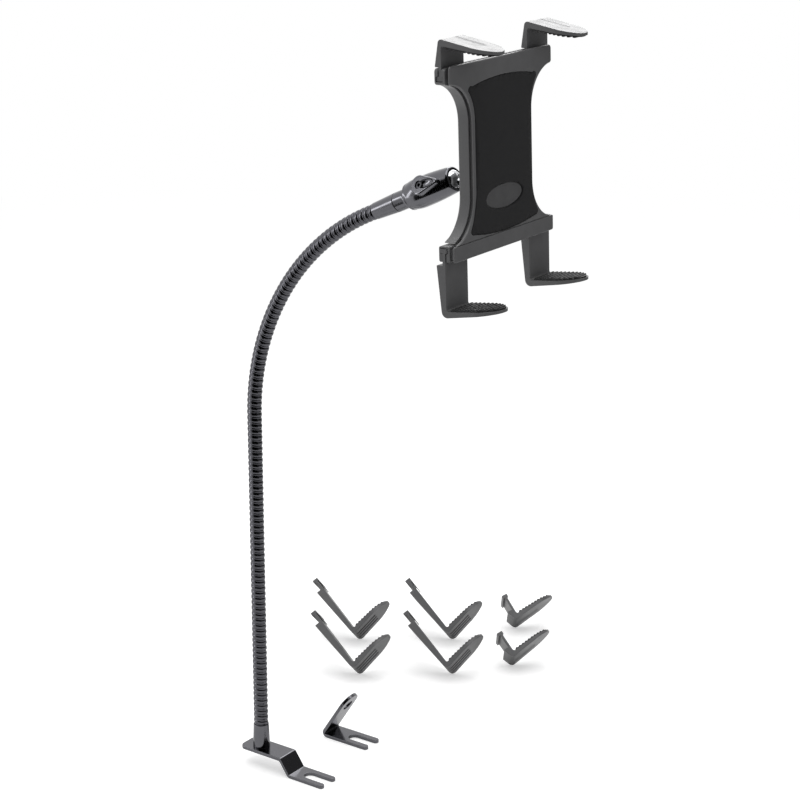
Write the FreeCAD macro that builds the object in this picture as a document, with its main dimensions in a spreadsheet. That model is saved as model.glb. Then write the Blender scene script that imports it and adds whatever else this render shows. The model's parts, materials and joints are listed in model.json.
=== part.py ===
import FreeCAD, Part
import os
import re
from math import asin, cos, radians, sin, sqrt, tan

import Sketcher

# A tablet holder on a gooseneck, whose forked foot clamps under a bolt of a car's seat rail.
# Millimetres. The origin is the centre of the fork's round end, on the underside of the foot.
# X points out along the fork and to the tablet's side, Y across the holder, Z up.

Vector = FreeCAD.Vector
Placement = FreeCAD.Placement
Rotation = FreeCAD.Rotation
ORIGIN = Vector(0, 0, 0)
X_AXIS = Vector(1, 0, 0)
Y_AXIS = Vector(0, 1, 0)
Z_AXIS = Vector(0, 0, 1)

SIZES = [
    # Rail bracket, a folded strip with an open fork
    ("strip_width", 23.0),
    ("strip_thick", 3.2),
    ("fork_radius", 5.5),
    ("fork_reach", 22.0),
    ("tine_round", 2.7),
    ("fold_low", 16.0),
    ("fold_high", 26.0),
    ("foot_rise", 14.3),
    ("foot_end", 75.0),
    ("foot_corner", 6.0),
    ("fold_round", 2.0),
    # Spare bracket, the same strip folded back over its fork
    ("spare_fold", 33.9),
    ("spare_rise", 57.0),
    ("flap_length", 57.5),
    ("flap_hole", 5.5),
    ("flap_hole_in", 14.0),
    # Where the spare bracket's fork stands
    ("spare_x", -13.5),
    ("spare_y", 87.0),
    # Screws, running clearances and how far a cutting tool passes a face
    ("screw_gap", 0.05),
    ("cut_past", 1.0),
    ("foot_screw_radius", 3.0),
    ("foot_head_radius", 5.5),
    ("foot_head_height", 3.0),
    ("foot_screw_grip", 10.0),
    # Lower ferrule
    ("neck_back", 57.5),
    ("foot_ferrule_height", 23.0),
    ("foot_ferrule_base", 8.1),
    ("foot_ferrule_top", 7.2),
    # Gooseneck
    ("crest_radius", 6.75),
    ("valley_radius", 5.9),
    ("neck_bore", 3.5),
    ("neck_plug_radius", 5.2),
    ("neck_plug_length", 8.0),
    ("plug_gap", 0.05),
    ("neck_straight", 304.5),
    ("low_arc_radius", 216.2),
    ("low_arc_turn", 18.0),
    ("high_arc_radius", 224.9),
    ("high_arc_turn", 47.0),
    ("neck_end_straight", 7.0),
    ("neck_parts", 13),
    ("part_ribs", 8),
    ("neck_gap", 0.95),
    # Upper ferrule and its washer
    ("head_back", 82.0),
    ("head_ferrule_length", 24.6),
    ("head_ferrule_start", 7.15),
    ("head_ferrule_end", 8.25),
    ("seam_thick", 0.8),
    ("seam_inset", 0.35),
    ("spigot_radius", 5.0),
    ("spigot_length", 9.0),
    # Ball housing, lengths from the ball's centre along the head's axis
    ("collar_back", 42.6),
    ("collar_radius", 11.5),
    ("collar_width", 1.8),
    ("collar_sweep", 4.0),
    ("barrel_wide_back", 30.0),
    ("barrel_radius", 12.75),
    ("barrel_front", 2.6),
    ("barrel_front_radius", 10.9),
    ("mouth_front", 5.5),
    ("mouth_radius", 9.4),
    ("lip_round", 3.4),
    ("plug_bore_radius", 6.0),
    ("plug_bore_back", 32.0),
    # Boss of the tension screw
    ("boss_turn", 26.0),
    ("boss_back", 22.6),
    ("boss_round", 8.4),
    ("boss_tip_back", 3.0),
    ("boss_tip_round", 2.4),
    ("boss_drop", 2.2),
    ("boss_out", 14.3),
    ("tension_radius", 2.0),
    ("tension_head_radius", 3.3),
    ("tension_head_height", 2.8),
    ("tension_head_out", 13.4),
    ("tension_tip_out", 2.6),
    ("tension_gap", 0.15),
    ("hex_radius", 1.7),
    ("hex_depth", 1.6),
    ("socket_turn", 20.0),
    ("plug_length", 20.6),
    ("plug_angle", 30.0),
    ("plug_notch_radius", 2.4),
    # Ball, cup and stud
    ("ball_radius", 9.5),
    ("ball_gap", 0.15),
    ("cup_thick", 0.7),
    ("lip_angle", 62.0),
    ("cup_back_angle", 150.0),
    ("stud_radius", 3.0),
    ("stud_neck_end", 16.0),
    ("stud_foot_radius", 8.0),
    ("stud_foot_start", 24.0),
    ("pin_radius", 4.0),
    ("pin_beyond", 2.4),
    ("clip_radius", 6.5),
    ("clip_thick", 0.7),
    ("clip_groove", 0.7),
    ("clip_gap", 0.15),
    # Stud plate and its screws
    ("stud_plate_wide", 40.0),
    ("stud_plate_high", 56.0),
    ("stud_plate_thick", 3.0),
    ("stud_plate_corner", 7.0),
    ("plate_screw_y", 10.0),
    ("plate_screw_z", 22.0),
    ("plate_screw_radius", 1.5),
    ("plate_screw_head", 3.0),
    ("plate_screw_cap", 1.6),
    ("screw_boss_radius", 3.4),
    ("screw_boss_high", 3.0),
    # Holder, heights from the ball's centre, and how far its top leans back
    ("holder_tilt", 2.2),
    ("shell_back", 36.9),
    ("shell_deep", 10.2),
    ("shell_wall", 2.0),
    ("reveal_gap", 3.0),
    ("plate_thick", 2.3),
    ("half_width", 72.7),
    ("waist_depth", 29.7),
    ("waist_half", "=half_width - waist_depth"),
    ("upper_arc_height", 59.8),
    ("upper_arc_radius", 32.0),
    ("lower_arc_height", 4.1),
    ("lower_arc_radius", 46.0),
    ("plate_top", 104.9),
    ("plate_over", 1.8),
    ("shell_top", "=plate_top - plate_over"),
    ("slot_deep", 10.2),
    ("upper_head_height", "=shell_top - slot_deep"),
    ("slot_floor", 2.8),
    ("tray_top", "=upper_head_height - slot_floor"),
    ("shell_foot", 33.9),
    ("plate_under", 2.0),
    ("plate_foot", "=shell_foot + plate_under"),
    ("ear_round", 3.0),
    ("ear_foot_round", 2.5),
    ("lip_wall", 1.2),
    ("lip_gap", 0.15),
    ("lip_deep", 5.0),
    ("post_inset", 7.8),
    ("post_y", "=waist_half - post_inset"),
    ("post_low", 14.0),
    ("post_high", 58.0),
    ("post_radius", 3.2),
    ("shell_screw_radius", 1.3),
    ("shell_screw_head", 2.4),
    ("shell_screw_length", 9.0),
    # Legs' slots
    ("slot_gap", 0.2),
    ("head_deep", 6.2),
    ("head_high", 3.6),
    ("head_back_edge", 4.7),
    ("tongue_deep", 2.6),
    ("leg_face_in", 7.5),
    ("leg_face", "=shell_back + leg_face_in"),
    # Lower bar, its cover and guide
    ("bar_overhang", 0.3),
    ("bar_half", "=half_width + bar_overhang"),
    ("bar_in", 0.4),
    ("bar_back", "=shell_back + bar_in"),
    ("bar_deep", 10.2),
    ("bar_seam", 0.2),
    ("bar_top", "=plate_foot + bar_seam"),
    ("bar_high", 12.4),
    ("bar_foot", "=bar_top + bar_high"),
    ("slot_roof", 1.8),
    ("lower_head_height", "=bar_top + slot_roof"),
    ("cover_thick", 1.9),
    ("web_margin", 2.1),
    ("cover_web_top", "=bar_top + web_margin"),
    ("cover_web_foot", "=bar_foot - web_margin"),
    ("guide_y", 22.0),
    ("guide_wide", 12.0),
    ("guide_thick", 2.6),
    ("guide_in", 5.3),
    ("guide_back", "=shell_back + guide_in"),
    ("guide_top", 5.0),
    ("guide_bridge", 5.0),
    ("guide_gap", 0.3),
    # Felt pad and badge
    ("pad_thick", 1.6),
    ("pad_sunk", 1.2),
    ("pad_side", 1.9),
    ("pad_waist", "=waist_half - pad_side"),
    ("pad_waist_top", 62.1),
    ("pad_gap", 0.1),
    ("pad_crown_z", 87.6),
    ("pad_crown_out", 0.7),
    ("pad_crown_y", "=waist_half + pad_crown_out"),
    ("pad_crown_radius", 233.0),
    ("pad_shoulder_z", 84.6),
    ("pad_corner_out", 6.2),
    ("pad_corner_y", "=waist_half + pad_corner_out"),
    ("pad_upper_arc", 35.3),
    ("pad_foot_z", 30.9),
    ("pad_foot_out", 3.7),
    ("pad_foot_y", "=waist_half + pad_foot_out"),
    ("pad_foot_radius", 254.0),
    ("pad_knee_z", 27.9),
    ("pad_lower_arc", 67.0),
    ("pad_round", 3.6),
    ("badge_half_wide", 26.0),
    ("badge_half_high", 9.5),
    ("badge_drop", 7.2),
    ("badge_thick", 0.5),
    ("badge_gap", 0.5),
    # Legs: height from the head's inner end, forward from the leg's front face
    ("leg_width", 31.0),
    ("leg_thick", 8.4),
    ("bend_thick", 4.2),
    ("hook_thick", 5.0),
    ("hook_taper", 3.5),
    ("hook_reach", 45.9),
    ("bend_round", 5.0),
    ("upper_shoulder_gap", 1.6),
    ("upper_shoulder", "=slot_deep + upper_shoulder_gap"),
    ("lower_shoulder_gap", 2.8),
    ("lower_shoulder", "=bar_high - slot_roof + lower_shoulder_gap"),
    ("spare_shoulder", 18.5),
    ("short_leg", 30.5),
    ("medium_leg", 55.9),
    ("long_leg", 76.0),
    ("short_lean", 7.7),
    ("medium_lean", 9.3),
    ("tongue_start", 25.0),
    ("tongue_side", 40.5),
    ("tongue_side_half", 9.5),
    ("channel_width", 11.5),
    ("channel_depth", 0.6),
    ("channel_end", 31.0),
    ("groove_width", 2.6),
    ("groove_pitch", 6.5),
    ("snap_tab_length", 9.4),
    ("snap_tab_thick", 0.8),
    ("snap_tab_width", 14.0),
    # Rubber grip on a hook's inner face
    ("grip_start", 3.0),
    ("grip_inset", 1.6),
    ("grip_thick", 1.1),
    ("grip_ribs", 10),
    ("grip_rib_high", 0.8),
    ("grip_rib_pitch", 3.9),
    ("grip_rib_wide", 2.4),
    ("grip_end", 2.0),
    # Where the legs stand along the slots
    ("left_leg_inset", 15.1),
    ("left_leg_y", "=half_width - left_leg_inset"),
    ("right_leg_inset", 8.1),
    ("right_leg_y", "=half_width - right_leg_inset"),
    # Where the spare legs' bends stand on the floor
    ("long_one_x", -151.4),
    ("long_one_y", 283.1),
    ("long_two_x", -99.6),
    ("long_two_y", 212.8),
    ("long_three_x", -70.8),
    ("long_three_y", 340.6),
    ("long_four_x", -21.9),
    ("long_four_y", 268.2),
    ("short_one_x", -32.4),
    ("short_one_y", 403.4),
    ("short_two_x", 17.4),
    ("short_two_y", 318.3),
    # Turns of the spare legs: their heading, how steeply their strips rise, how far they lie back
    ("long_leg_heading", 20.0),
    ("long_leg_rise", 44.0),
    ("long_leg_back", 37.0),
    ("short_leg_heading", 35.0),
    ("short_leg_rise", 61.0),
    ("short_leg_back", 42.0),
    ("last_leg_rise", 57.5),
]

doc = FreeCAD.newDocument("seat_rail_tablet_mount")
sheet = doc.addObject("Spreadsheet::Sheet", "Sizes")
for row, (name, value) in enumerate(SIZES, start=1):
    sheet.set(f"A{row}", name)
    sheet.set(f"B{row}", str(value))
    sheet.setAlias(f"B{row}", name)
doc.recompute()


def bound(text):
    """The sum with each named size read from the sheet."""
    return re.sub(r"\b[a-z]+(?:_[a-z]+)+\b", lambda word: "Sizes." + word.group(), text)


def size(text):
    """The value of a sum of named sizes."""
    return float(sheet.evalExpression(bound(text)))


def named(piece, label, place=None):
    """Gives a sub-part its label and its place."""
    piece.Label = label
    piece.Placement = place or Placement()
    return piece


# Sketches and simple solids

def arc_edge(start, stop, radius, side):
    """An arc of under half a circle; side is where its centre lies, seen along the way."""
    chord = stop - start
    across = Vector(-chord.y, chord.x, 0).normalize()
    height = sqrt(max(radius ** 2 - (chord.Length / 2) ** 2, 0))
    centre = (start + stop) * 0.5 + across * (height if side == "left" else -height)
    first, last = (start, stop) if side == "left" else (stop, start)
    circle = Part.Circle(centre, Z_AXIS, radius)
    return Part.ArcOfCircle(circle, circle.parameter(first), circle.parameter(last))


def sketch(body, role, points):
    """A closed outline. A point is (x, y), or (x, y, radius, side) where an arc leaves it."""
    drawing = body.newObject("Sketcher::SketchObject", "Outline")
    plane = [item for item in body.Origin.OriginFeatures if item.Role == role][0]
    drawing.AttachmentSupport = [(plane, "")]
    drawing.MapMode = "FlatFace"
    spots = [Vector(size(point[0]), size(point[1]), 0) for point in points]
    ends = []
    for i, point in enumerate(points):
        start, stop = spots[i], spots[(i + 1) % len(points)]
        if len(point) == 2:
            drawing.addGeometry(Part.LineSegment(start, stop))
            ends.append((1, 2))
        else:
            drawing.addGeometry(arc_edge(start, stop, size(point[2]), point[3]))
            ends.append((1, 2) if point[3] == "left" else (2, 1))
    for i, (_, last) in enumerate(ends):
        following = (i + 1) % len(ends)
        drawing.addConstraint(Sketcher.Constraint("Coincident", i, last, following, ends[following][0]))
    for i, point in enumerate(points):
        for kind, text, value in (("DistanceX", point[0], spots[i].x), ("DistanceY", point[1], spots[i].y)):
            rule = drawing.addConstraint(Sketcher.Constraint(kind, -1, 1, i, ends[i][0], value))
            drawing.setExpression(f"Constraints[{rule}]", bound(text))
        if len(point) == 4:
            rule = drawing.addConstraint(Sketcher.Constraint("Radius", i, size(point[2])))
            drawing.setExpression(f"Constraints[{rule}]", bound(point[2]))
    return drawing


def padded(label, role, points, length, both_ways=False, place=None):
    """A body whose outline on one of its own planes is padded."""
    body = named(doc.addObject("PartDesign::Body", label), label, place)
    pad = body.newObject("PartDesign::Pad", "Pad")
    pad.Profile = sketch(body, role, points)
    pad.setExpression("Length", bound(length))
    pad.Midplane = both_ways
    doc.recompute()
    return body


def pocket(body, role, points):
    """Cuts an outline right through the body, both ways from its plane."""
    before = body.Shape.Volume
    cut = body.newObject("PartDesign::Pocket", "Pocket")
    cut.Profile = sketch(body, role, points)
    cut.Type = "ThroughAll"
    cut.Midplane = True
    doc.recompute()
    if body.Shape.Volume >= before:
        raise ValueError(f"{body.Label}: a pocket cuts nothing")


def rounded(body, radius, wanted):
    """Rounds the edges of the body that pass a test."""
    base = body.Tip
    edges = [f"Edge{i}" for i, edge in enumerate(body.Shape.Edges, start=1) if wanted(edge)]
    fillet = body.newObject("PartDesign::Fillet", "Fillet")
    fillet.Base = (base, edges)
    fillet.setExpression("Radius", bound(radius))
    doc.recompute()


def along(edge, axis):
    """Whether a straight edge lies along an axis."""
    way = edge.lastVertex().Point - edge.firstVertex().Point
    return way.Length > 1e-6 and abs(abs(way.normalize().dot(axis)) - 1) < 1e-6


def turned(label, points, place=None):
    """A body turned from a half section (radius, height) about its own Z axis."""
    body = named(doc.addObject("PartDesign::Body", label), label, place)
    turn = body.newObject("PartDesign::Revolution", "Turn")
    drawing = sketch(body, "XZ_Plane", points)
    turn.Profile = drawing
    turn.ReferenceAxis = (drawing, ["V_Axis"])
    turn.Angle = 360
    doc.recompute()
    return body


def cylinder(name, radius, height, place):
    """A cylinder along its own Z axis."""
    piece = doc.addObject("Part::Cylinder", name)
    piece.setExpression("Radius", bound(radius))
    piece.setExpression("Height", bound(height))
    piece.Placement = place
    return piece


def block(name, lengths, corner):
    """A box from one corner."""
    piece = doc.addObject("Part::Box", name)
    for side, text in zip(("Length", "Width", "Height"), lengths):
        piece.setExpression(side, bound(text))
    piece.Placement = Placement(Vector(*[size(text) for text in corner]), Rotation())
    return piece


def joined(name, pieces):
    """Pieces fused into one solid."""
    fuse = doc.addObject("Part::MultiFuse", name)
    fuse.Shapes = pieces
    fuse.Refine = True
    return fuse


def cut(name, base, tool):
    """One piece less another."""
    piece = doc.addObject("Part::Cut", name)
    piece.Base = base
    piece.Tool = tool
    piece.Refine = True
    return piece


def set_of(label, shape, places):
    """Like fasteners in one node, as separate solids."""
    copies = []
    for place in places:
        copy = shape.copy()
        copy.Placement = place
        copies.append(copy)
    group = doc.addObject("Part::Feature", label)
    group.Shape = Part.makeCompound(copies)
    return named(group, label)


def solid(label, shape, place=None):
    """A sub-part whose shape is worked out in code from the sheet's sizes."""
    piece = doc.addObject("Part::Feature", label)
    piece.Shape = shape
    return named(piece, label, place)


# The gooseneck's centre line: straight up, two arcs that lean forward, a short straight end

NECK_FOOT = size("foot_rise + strip_thick + foot_ferrule_height")


def neck_at(way):
    """The point and the direction of the centre line at a distance from its lower end."""
    point = Vector(-size("neck_back"), 0, NECK_FOOT)
    lean = 0.0
    runs = [
        (size("neck_straight"), 0.0),
        (radians(size("low_arc_turn")) * size("low_arc_radius"), size("low_arc_radius")),
        (radians(size("high_arc_turn")) * size("high_arc_radius"), size("high_arc_radius")),
        (size("neck_end_straight"), 0.0),
    ]
    for i, (length, radius) in enumerate(runs):
        step = way if i == len(runs) - 1 else min(way, length)
        if radius:
            turn = step / radius
            across = cos(lean) - cos(lean + turn)
            up = sin(lean + turn) - sin(lean)
            point += Vector(across, 0, up) * radius
            lean += turn
        else:
            point += Vector(sin(lean), 0, cos(lean)) * step
        way -= step
        if way <= 0:
            break
    return point, Vector(sin(lean), 0, cos(lean))


NECK_LENGTH = (
    size("neck_straight + neck_end_straight")
    + radians(size("low_arc_turn")) * size("low_arc_radius")
    + radians(size("high_arc_turn")) * size("high_arc_radius")
)
NECK_END, HEAD_WAY = neck_at(NECK_LENGTH)
HEAD_TURN = size("low_arc_turn + high_arc_turn")
BALL = NECK_END + HEAD_WAY * size("head_back")
HEAD = Placement(BALL, Rotation(Y_AXIS, HEAD_TURN))
HOLDER = Placement(BALL, Rotation(Y_AXIS, -size("holder_tilt")))
STUD = HOLDER.multiply(Placement(ORIGIN, Rotation(Y_AXIS, 90)))


def neck_circle(way, radius):
    """A circle square to the centre line, with its own X axis always across the neck."""
    point, forward = neck_at(way)
    ring = Part.Wire([Part.Circle(ORIGIN, Z_AXIS, radius).toShape()])
    ring.Placement = Placement(point, Rotation(Y_AXIS, ORIGIN, forward, "ZXY"))
    return ring


def neck_tube(start, stop, radius):
    """A smooth round core along part of the centre line, for a bore or a plug."""
    steps = 4
    ways = [start + (stop - start) * i / steps for i in range(steps + 1)]
    return Part.makeLoft([neck_circle(way, radius) for way in ways], True, True)


def neck_segment(number):
    """One bending segment of the wound neck: its ribs, its bore and, at an end, its plug."""
    parts = int(size("neck_parts"))
    ribs = int(size("part_ribs"))
    length = NECK_LENGTH / parts
    pitch = length / ribs
    start = number * length + (size("neck_gap") / 2 if number else 0)
    stop = (number + 1) * length - (size("neck_gap") / 2 if number < parts - 1 else 0)
    valley, crest = size("valley_radius"), size("crest_radius")
    circles = []
    for rib in range(ribs):
        for share, radius in ((0.0, valley), (0.2, crest), (0.7, crest), (0.9, valley)):
            way = number * length + (rib + share) * pitch
            last = rib == ribs - 1 and share == 0.9
            circles.append(neck_circle(stop if last else max(way, start), radius))
    shape = Part.makeLoft(circles, True, True)
    tail = size("neck_plug_length")
    plug = size("neck_plug_radius")
    past = size("cut_past")
    bore_start, bore_stop = start - past, stop + past
    if number == 0:
        point, forward = neck_at(0)
        shape = shape.fuse(Part.makeCylinder(plug, tail, point - forward * tail, forward))
        lower_tool = point - forward * (tail + past)
        shape = shape.cut(Part.makeCylinder(size("neck_bore"), tail + past, lower_tool, forward))
        bore_start = start
    if number == parts - 1:
        shape = shape.fuse(Part.makeCylinder(plug, tail, NECK_END, HEAD_WAY))
        shape = shape.cut(Part.makeCylinder(size("neck_bore"), tail + past, NECK_END, HEAD_WAY))
        bore_stop = stop
    shape = shape.cut(neck_tube(bore_start, bore_stop, size("neck_bore")))
    return solid(f"neck_segment_{number + 1:02d}", shape)


# Foot

def rail_bracket():
    """The folded strip: an open fork low down, a step up, and the tongue under the neck."""
    fold_back = "strip_thick * tan(atan(foot_rise / (fold_high - fold_low)) / 2)"
    body = padded("foot_shape", "XZ_Plane", [
        ("fork_reach", "0"),
        ("fork_reach", "strip_thick"),
        ("-fold_low", "strip_thick"),
        ("-fold_high", "foot_rise + strip_thick"),
        ("-foot_end", "foot_rise + strip_thick"),
        ("-foot_end", "foot_rise"),
        (f"-fold_high - {fold_back}", "foot_rise"),
        (f"-fold_low - {fold_back}", "0"),
    ], "strip_width", both_ways=True)
    pocket(body, "XY_Plane", [
        ("fork_reach + cut_past", "-fork_radius"),
        ("fork_reach + cut_past", "fork_radius"),
        ("0", "fork_radius", "fork_radius", "left"),
        ("-fork_radius", "0", "fork_radius", "left"),
        ("0", "-fork_radius"),
    ])
    reach, back = size("fork_reach"), -size("foot_end")
    thick, width = size("strip_thick"), size("strip_width")
    high = size("foot_rise")

    def inner_fold(edge):
        low = abs(edge.CenterOfMass.x + size("fold_low")) < 0.1 and edge.CenterOfMass.z > thick / 2
        up = abs(edge.CenterOfMass.x + size("fold_high")) > 0.1 and abs(edge.CenterOfMass.z - high) < 0.1
        inside = edge.CenterOfMass.x > back + 1
        return along(edge, Y_AXIS) and edge.Length > width - 1 and (low or up) and inside

    def outer_fold(edge):
        up = abs(edge.CenterOfMass.x + size("fold_high")) < 0.1 and edge.CenterOfMass.z > high + thick / 2
        low = abs(edge.CenterOfMass.z) < 0.1
        return along(edge, Y_AXIS) and edge.Length > width - 1 and (low or up)

    rounded(body, "fold_round", inner_fold)
    rounded(body, "fold_round + strip_thick", outer_fold)
    rounded(body, "foot_corner", lambda edge: along(edge, Z_AXIS) and abs(edge.CenterOfMass.x - back) < 0.1)
    rounded(body, "tine_round", lambda edge: along(edge, Z_AXIS) and abs(edge.CenterOfMass.x - reach) < 0.1)
    hole = cylinder("foot_hole", "foot_screw_radius + screw_gap", "strip_thick + 2 * cut_past",
                    Placement(Vector(-size("neck_back"), 0, high - size("cut_past")), Rotation()))
    return named(cut("foot_strip", body, hole), "rail_bracket")


def foot_screw():
    """The cap screw that holds the neck to the bracket from below."""
    return turned("foot_screw", [
        ("0", "-foot_head_height"),
        ("foot_head_radius", "-foot_head_height"),
        ("foot_head_radius", "0"),
        ("foot_screw_radius", "0"),
        ("foot_screw_radius", "strip_thick + foot_screw_grip"),
        ("0", "strip_thick + foot_screw_grip"),
    ], Placement(Vector(-size("neck_back"), 0, size("foot_rise")), Rotation()))


def lower_ferrule():
    """The conical sleeve on the bracket, with the screw below and the neck's plug above."""
    return turned("lower_ferrule", [
        ("foot_screw_radius + screw_gap", "0"),
        ("foot_ferrule_base", "0"),
        ("foot_ferrule_top", "foot_ferrule_height"),
        ("neck_plug_radius + plug_gap", "foot_ferrule_height"),
        ("neck_plug_radius + plug_gap", "foot_ferrule_height - neck_plug_length - plug_gap"),
        ("foot_screw_radius + screw_gap", "foot_ferrule_height - neck_plug_length - plug_gap"),
    ], Placement(Vector(-size("neck_back"), 0, size("foot_rise + strip_thick")), Rotation()))


# Head

def upper_ferrule():
    """The sleeve on the neck's upper end, with the spigot that enters the housing."""
    start = "-head_back"
    stop = "head_ferrule_length - head_back"
    seat = "neck_plug_length + plug_gap - head_back"
    return turned("upper_ferrule", [
        ("neck_plug_radius + plug_gap", start),
        ("head_ferrule_start", start),
        ("head_ferrule_end", stop),
        ("spigot_radius", stop),
        ("spigot_radius", f"{stop} + spigot_length"),
        ("0", f"{stop} + spigot_length"),
        ("0", seat),
        ("neck_plug_radius + plug_gap", seat),
    ], HEAD)


def seam_washer():
    """The dark washer in the seam between the ferrule and the housing."""
    base = "head_ferrule_length - head_back"
    return turned("seam_washer", [
        ("spigot_radius + screw_gap", base),
        ("head_ferrule_end - seam_inset", base),
        ("head_ferrule_end - seam_inset", f"{base} + seam_thick"),
        ("spigot_radius + screw_gap", f"{base} + seam_thick"),
    ], HEAD)


def boss_way():
    """The direction of the tension screw, square to the head's axis."""
    lift = radians(size("boss_turn"))
    up = HEAD.Rotation.multVec(-X_AXIS)
    return -Y_AXIS * cos(lift) + up * sin(lift)


def boss_place(back, out):
    """A place along the screw's direction, with Z outward and X along the head's axis."""
    spot = BALL - HEAD_WAY * back + boss_way() * out
    return Placement(spot, Rotation(HEAD_WAY, ORIGIN, boss_way(), "ZXY"))


def ball_housing():
    """The barrel with its stub, collar, mouth and ball seat, and the teardrop boss."""
    stub = "head_ferrule_length + seam_thick - head_back"
    spigot_end = "head_ferrule_length + spigot_length + plug_gap - head_back"
    widest = "barrel_wide_back - collar_back + collar_width"
    barrel = turned("housing_barrel", [
        ("spigot_radius + screw_gap", stub),
        ("head_ferrule_end", stub),
        ("head_ferrule_end", "-collar_back - collar_sweep", "collar_sweep", "right"),
        ("collar_radius", "-collar_back"),
        ("collar_radius", "collar_width - collar_back",
         f"(({widest}) ^ 2 + (barrel_radius - collar_radius) ^ 2)"
         " / (2 * (barrel_radius - collar_radius))", "left"),
        ("barrel_radius", "-barrel_wide_back",
         "((barrel_wide_back + barrel_front) ^ 2 + (barrel_radius - barrel_front_radius) ^ 2)"
         " / (2 * (barrel_radius - barrel_front_radius))", "left"),
        ("barrel_front_radius", "barrel_front", "lip_round", "left"),
        ("mouth_radius", "mouth_front"),
        ("plug_bore_radius", "mouth_front"),
        ("plug_bore_radius", "-plug_bore_back"),
        ("0", "-plug_bore_back"),
        ("0", spigot_end),
        ("spigot_radius + screw_gap", spigot_end),
    ], HEAD)
    tip = "boss_back - boss_tip_back - boss_tip_round"
    boss = padded("housing_boss", "XY_Plane", [
        ("0", "boss_round", "boss_round", "left"),
        ("-boss_round", "0", "boss_round", "left"),
        ("0", "-boss_round"),
        (tip, "-boss_drop - boss_tip_round", "boss_tip_round", "left"),
        (f"{tip} + boss_tip_round", "-boss_drop", "boss_tip_round", "left"),
        (tip, "boss_tip_round - boss_drop"),
    ], "boss_out - plug_bore_radius - cut_past",
        place=boss_place(size("boss_back"), size("plug_bore_radius + cut_past")))
    rounded(boss, "boss_tip_round / 2", lambda edge: abs(boss_height(edge) - size("boss_out")) < 0.01)
    seat = doc.addObject("Part::Sphere", "ball_seat")
    seat.setExpression("Radius", bound("ball_radius + 2 * ball_gap + cup_thick"))
    seat.Placement = HEAD
    bore = cylinder("plug_bore", "plug_bore_radius", "plug_bore_back", HEAD.multiply(
        Placement(Vector(0, 0, -size("plug_bore_back")), Rotation())))
    shank = cylinder("shank_hole", "tension_radius + tension_gap", "boss_out",
                     boss_place(size("boss_back"), size("plug_bore_radius - 2 * cut_past")))
    sink = cylinder("head_hole", "tension_head_radius + tension_gap", "boss_out",
                    boss_place(size("boss_back"), size("tension_head_out - tension_head_height - tension_gap")))
    whole = joined("housing_whole", [barrel, boss])
    return named(cut("housing", whole, joined("housing_holes", [seat, bore, shank, sink])), "ball_housing")


def boss_height(edge):
    """How far an edge lies from the head's axis on the boss's side."""
    return (edge.CenterOfMass - BALL).dot(boss_way())


def tension_screw():
    """The socket screw that presses the plug on the ball's cup, as it was left at its last turn."""
    turn = Placement(ORIGIN, Rotation(Z_AXIS, size("socket_turn")))
    body = turned("tension_shape", [
        ("0", "tension_tip_out"),
        ("tension_radius / 2", "tension_tip_out"),
        ("tension_radius", "tension_tip_out + tension_radius / 2"),
        ("tension_radius", "tension_head_out - tension_head_height"),
        ("tension_head_radius", "tension_head_out - tension_head_height"),
        ("tension_head_radius", "tension_head_out"),
        ("0", "tension_head_out"),
    ], boss_place(size("boss_back"), 0).multiply(turn))
    socket = doc.addObject("Part::Prism", "hex_socket")
    socket.Polygon = 6
    socket.setExpression("Circumradius", bound("hex_radius"))
    socket.setExpression("Height", bound("hex_depth"))
    socket.Placement = boss_place(size("boss_back"), size("tension_head_out - hex_depth")).multiply(turn)
    return named(cut("tension", body, socket), "tension_screw")


def pressure_plug():
    """The plug behind the ball's cup, hollowed to the cup, with the screw's notch."""
    front = "-ball_radius * cos(plug_angle)"
    body = turned("plug_shape", [
        ("0", f"{front} - plug_length"),
        ("plug_bore_radius - screw_gap", f"{front} - plug_length"),
        ("plug_bore_radius - screw_gap", front),
        ("0", front),
    ], HEAD)
    hollow = doc.addObject("Part::Sphere", "plug_hollow")
    hollow.setExpression("Radius", bound("ball_radius + 2 * ball_gap + cup_thick"))
    hollow.Placement = HEAD
    notch = cylinder("plug_notch", "plug_notch_radius", "plug_bore_radius",
                     boss_place(size("boss_back"), size("tension_tip_out - ball_gap")))
    return named(cut("plug", body, joined("plug_holes", [hollow, notch])), "pressure_plug")


def ball_cup():
    """The thin bowl between ball and housing, open at the mouth and at the back."""
    inner = "(ball_radius + ball_gap)"
    outer = "(ball_radius + ball_gap + cup_thick)"
    return turned("ball_cup", [
        (f"{inner} * sin(cup_back_angle)", f"{inner} * cos(cup_back_angle)"),
        (f"{outer} * sin(cup_back_angle)", f"{outer} * cos(cup_back_angle)", outer, "left"),
        (f"{outer} * sin(lip_angle)", f"{outer} * cos(lip_angle)"),
        (f"{inner} * sin(lip_angle)", f"{inner} * cos(lip_angle)", inner, "right"),
    ], HEAD)


def ball_stud():
    """The ball, its neck and foot, and the pin that turns in the stud plate."""
    plate_back = "shell_back - stud_plate_thick - clip_gap"
    groove = "shell_back + clip_gap"
    return turned("ball_stud", [
        ("0", "-ball_radius", "ball_radius", "left"),
        ("ball_radius", "0", "ball_radius", "left"),
        ("stud_radius", "sqrt(ball_radius ^ 2 - stud_radius ^ 2)"),
        ("stud_radius", "stud_neck_end"),
        ("stud_foot_radius", "stud_foot_start"),
        ("stud_foot_radius", plate_back),
        ("pin_radius", plate_back),
        ("pin_radius", groove),
        ("pin_radius - clip_groove", groove),
        ("pin_radius - clip_groove", f"{groove} + clip_thick"),
        ("pin_radius", f"{groove} + clip_thick"),
        ("pin_radius", "shell_back + pin_beyond"),
        ("0", "shell_back + pin_beyond"),
    ], STUD)


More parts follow.
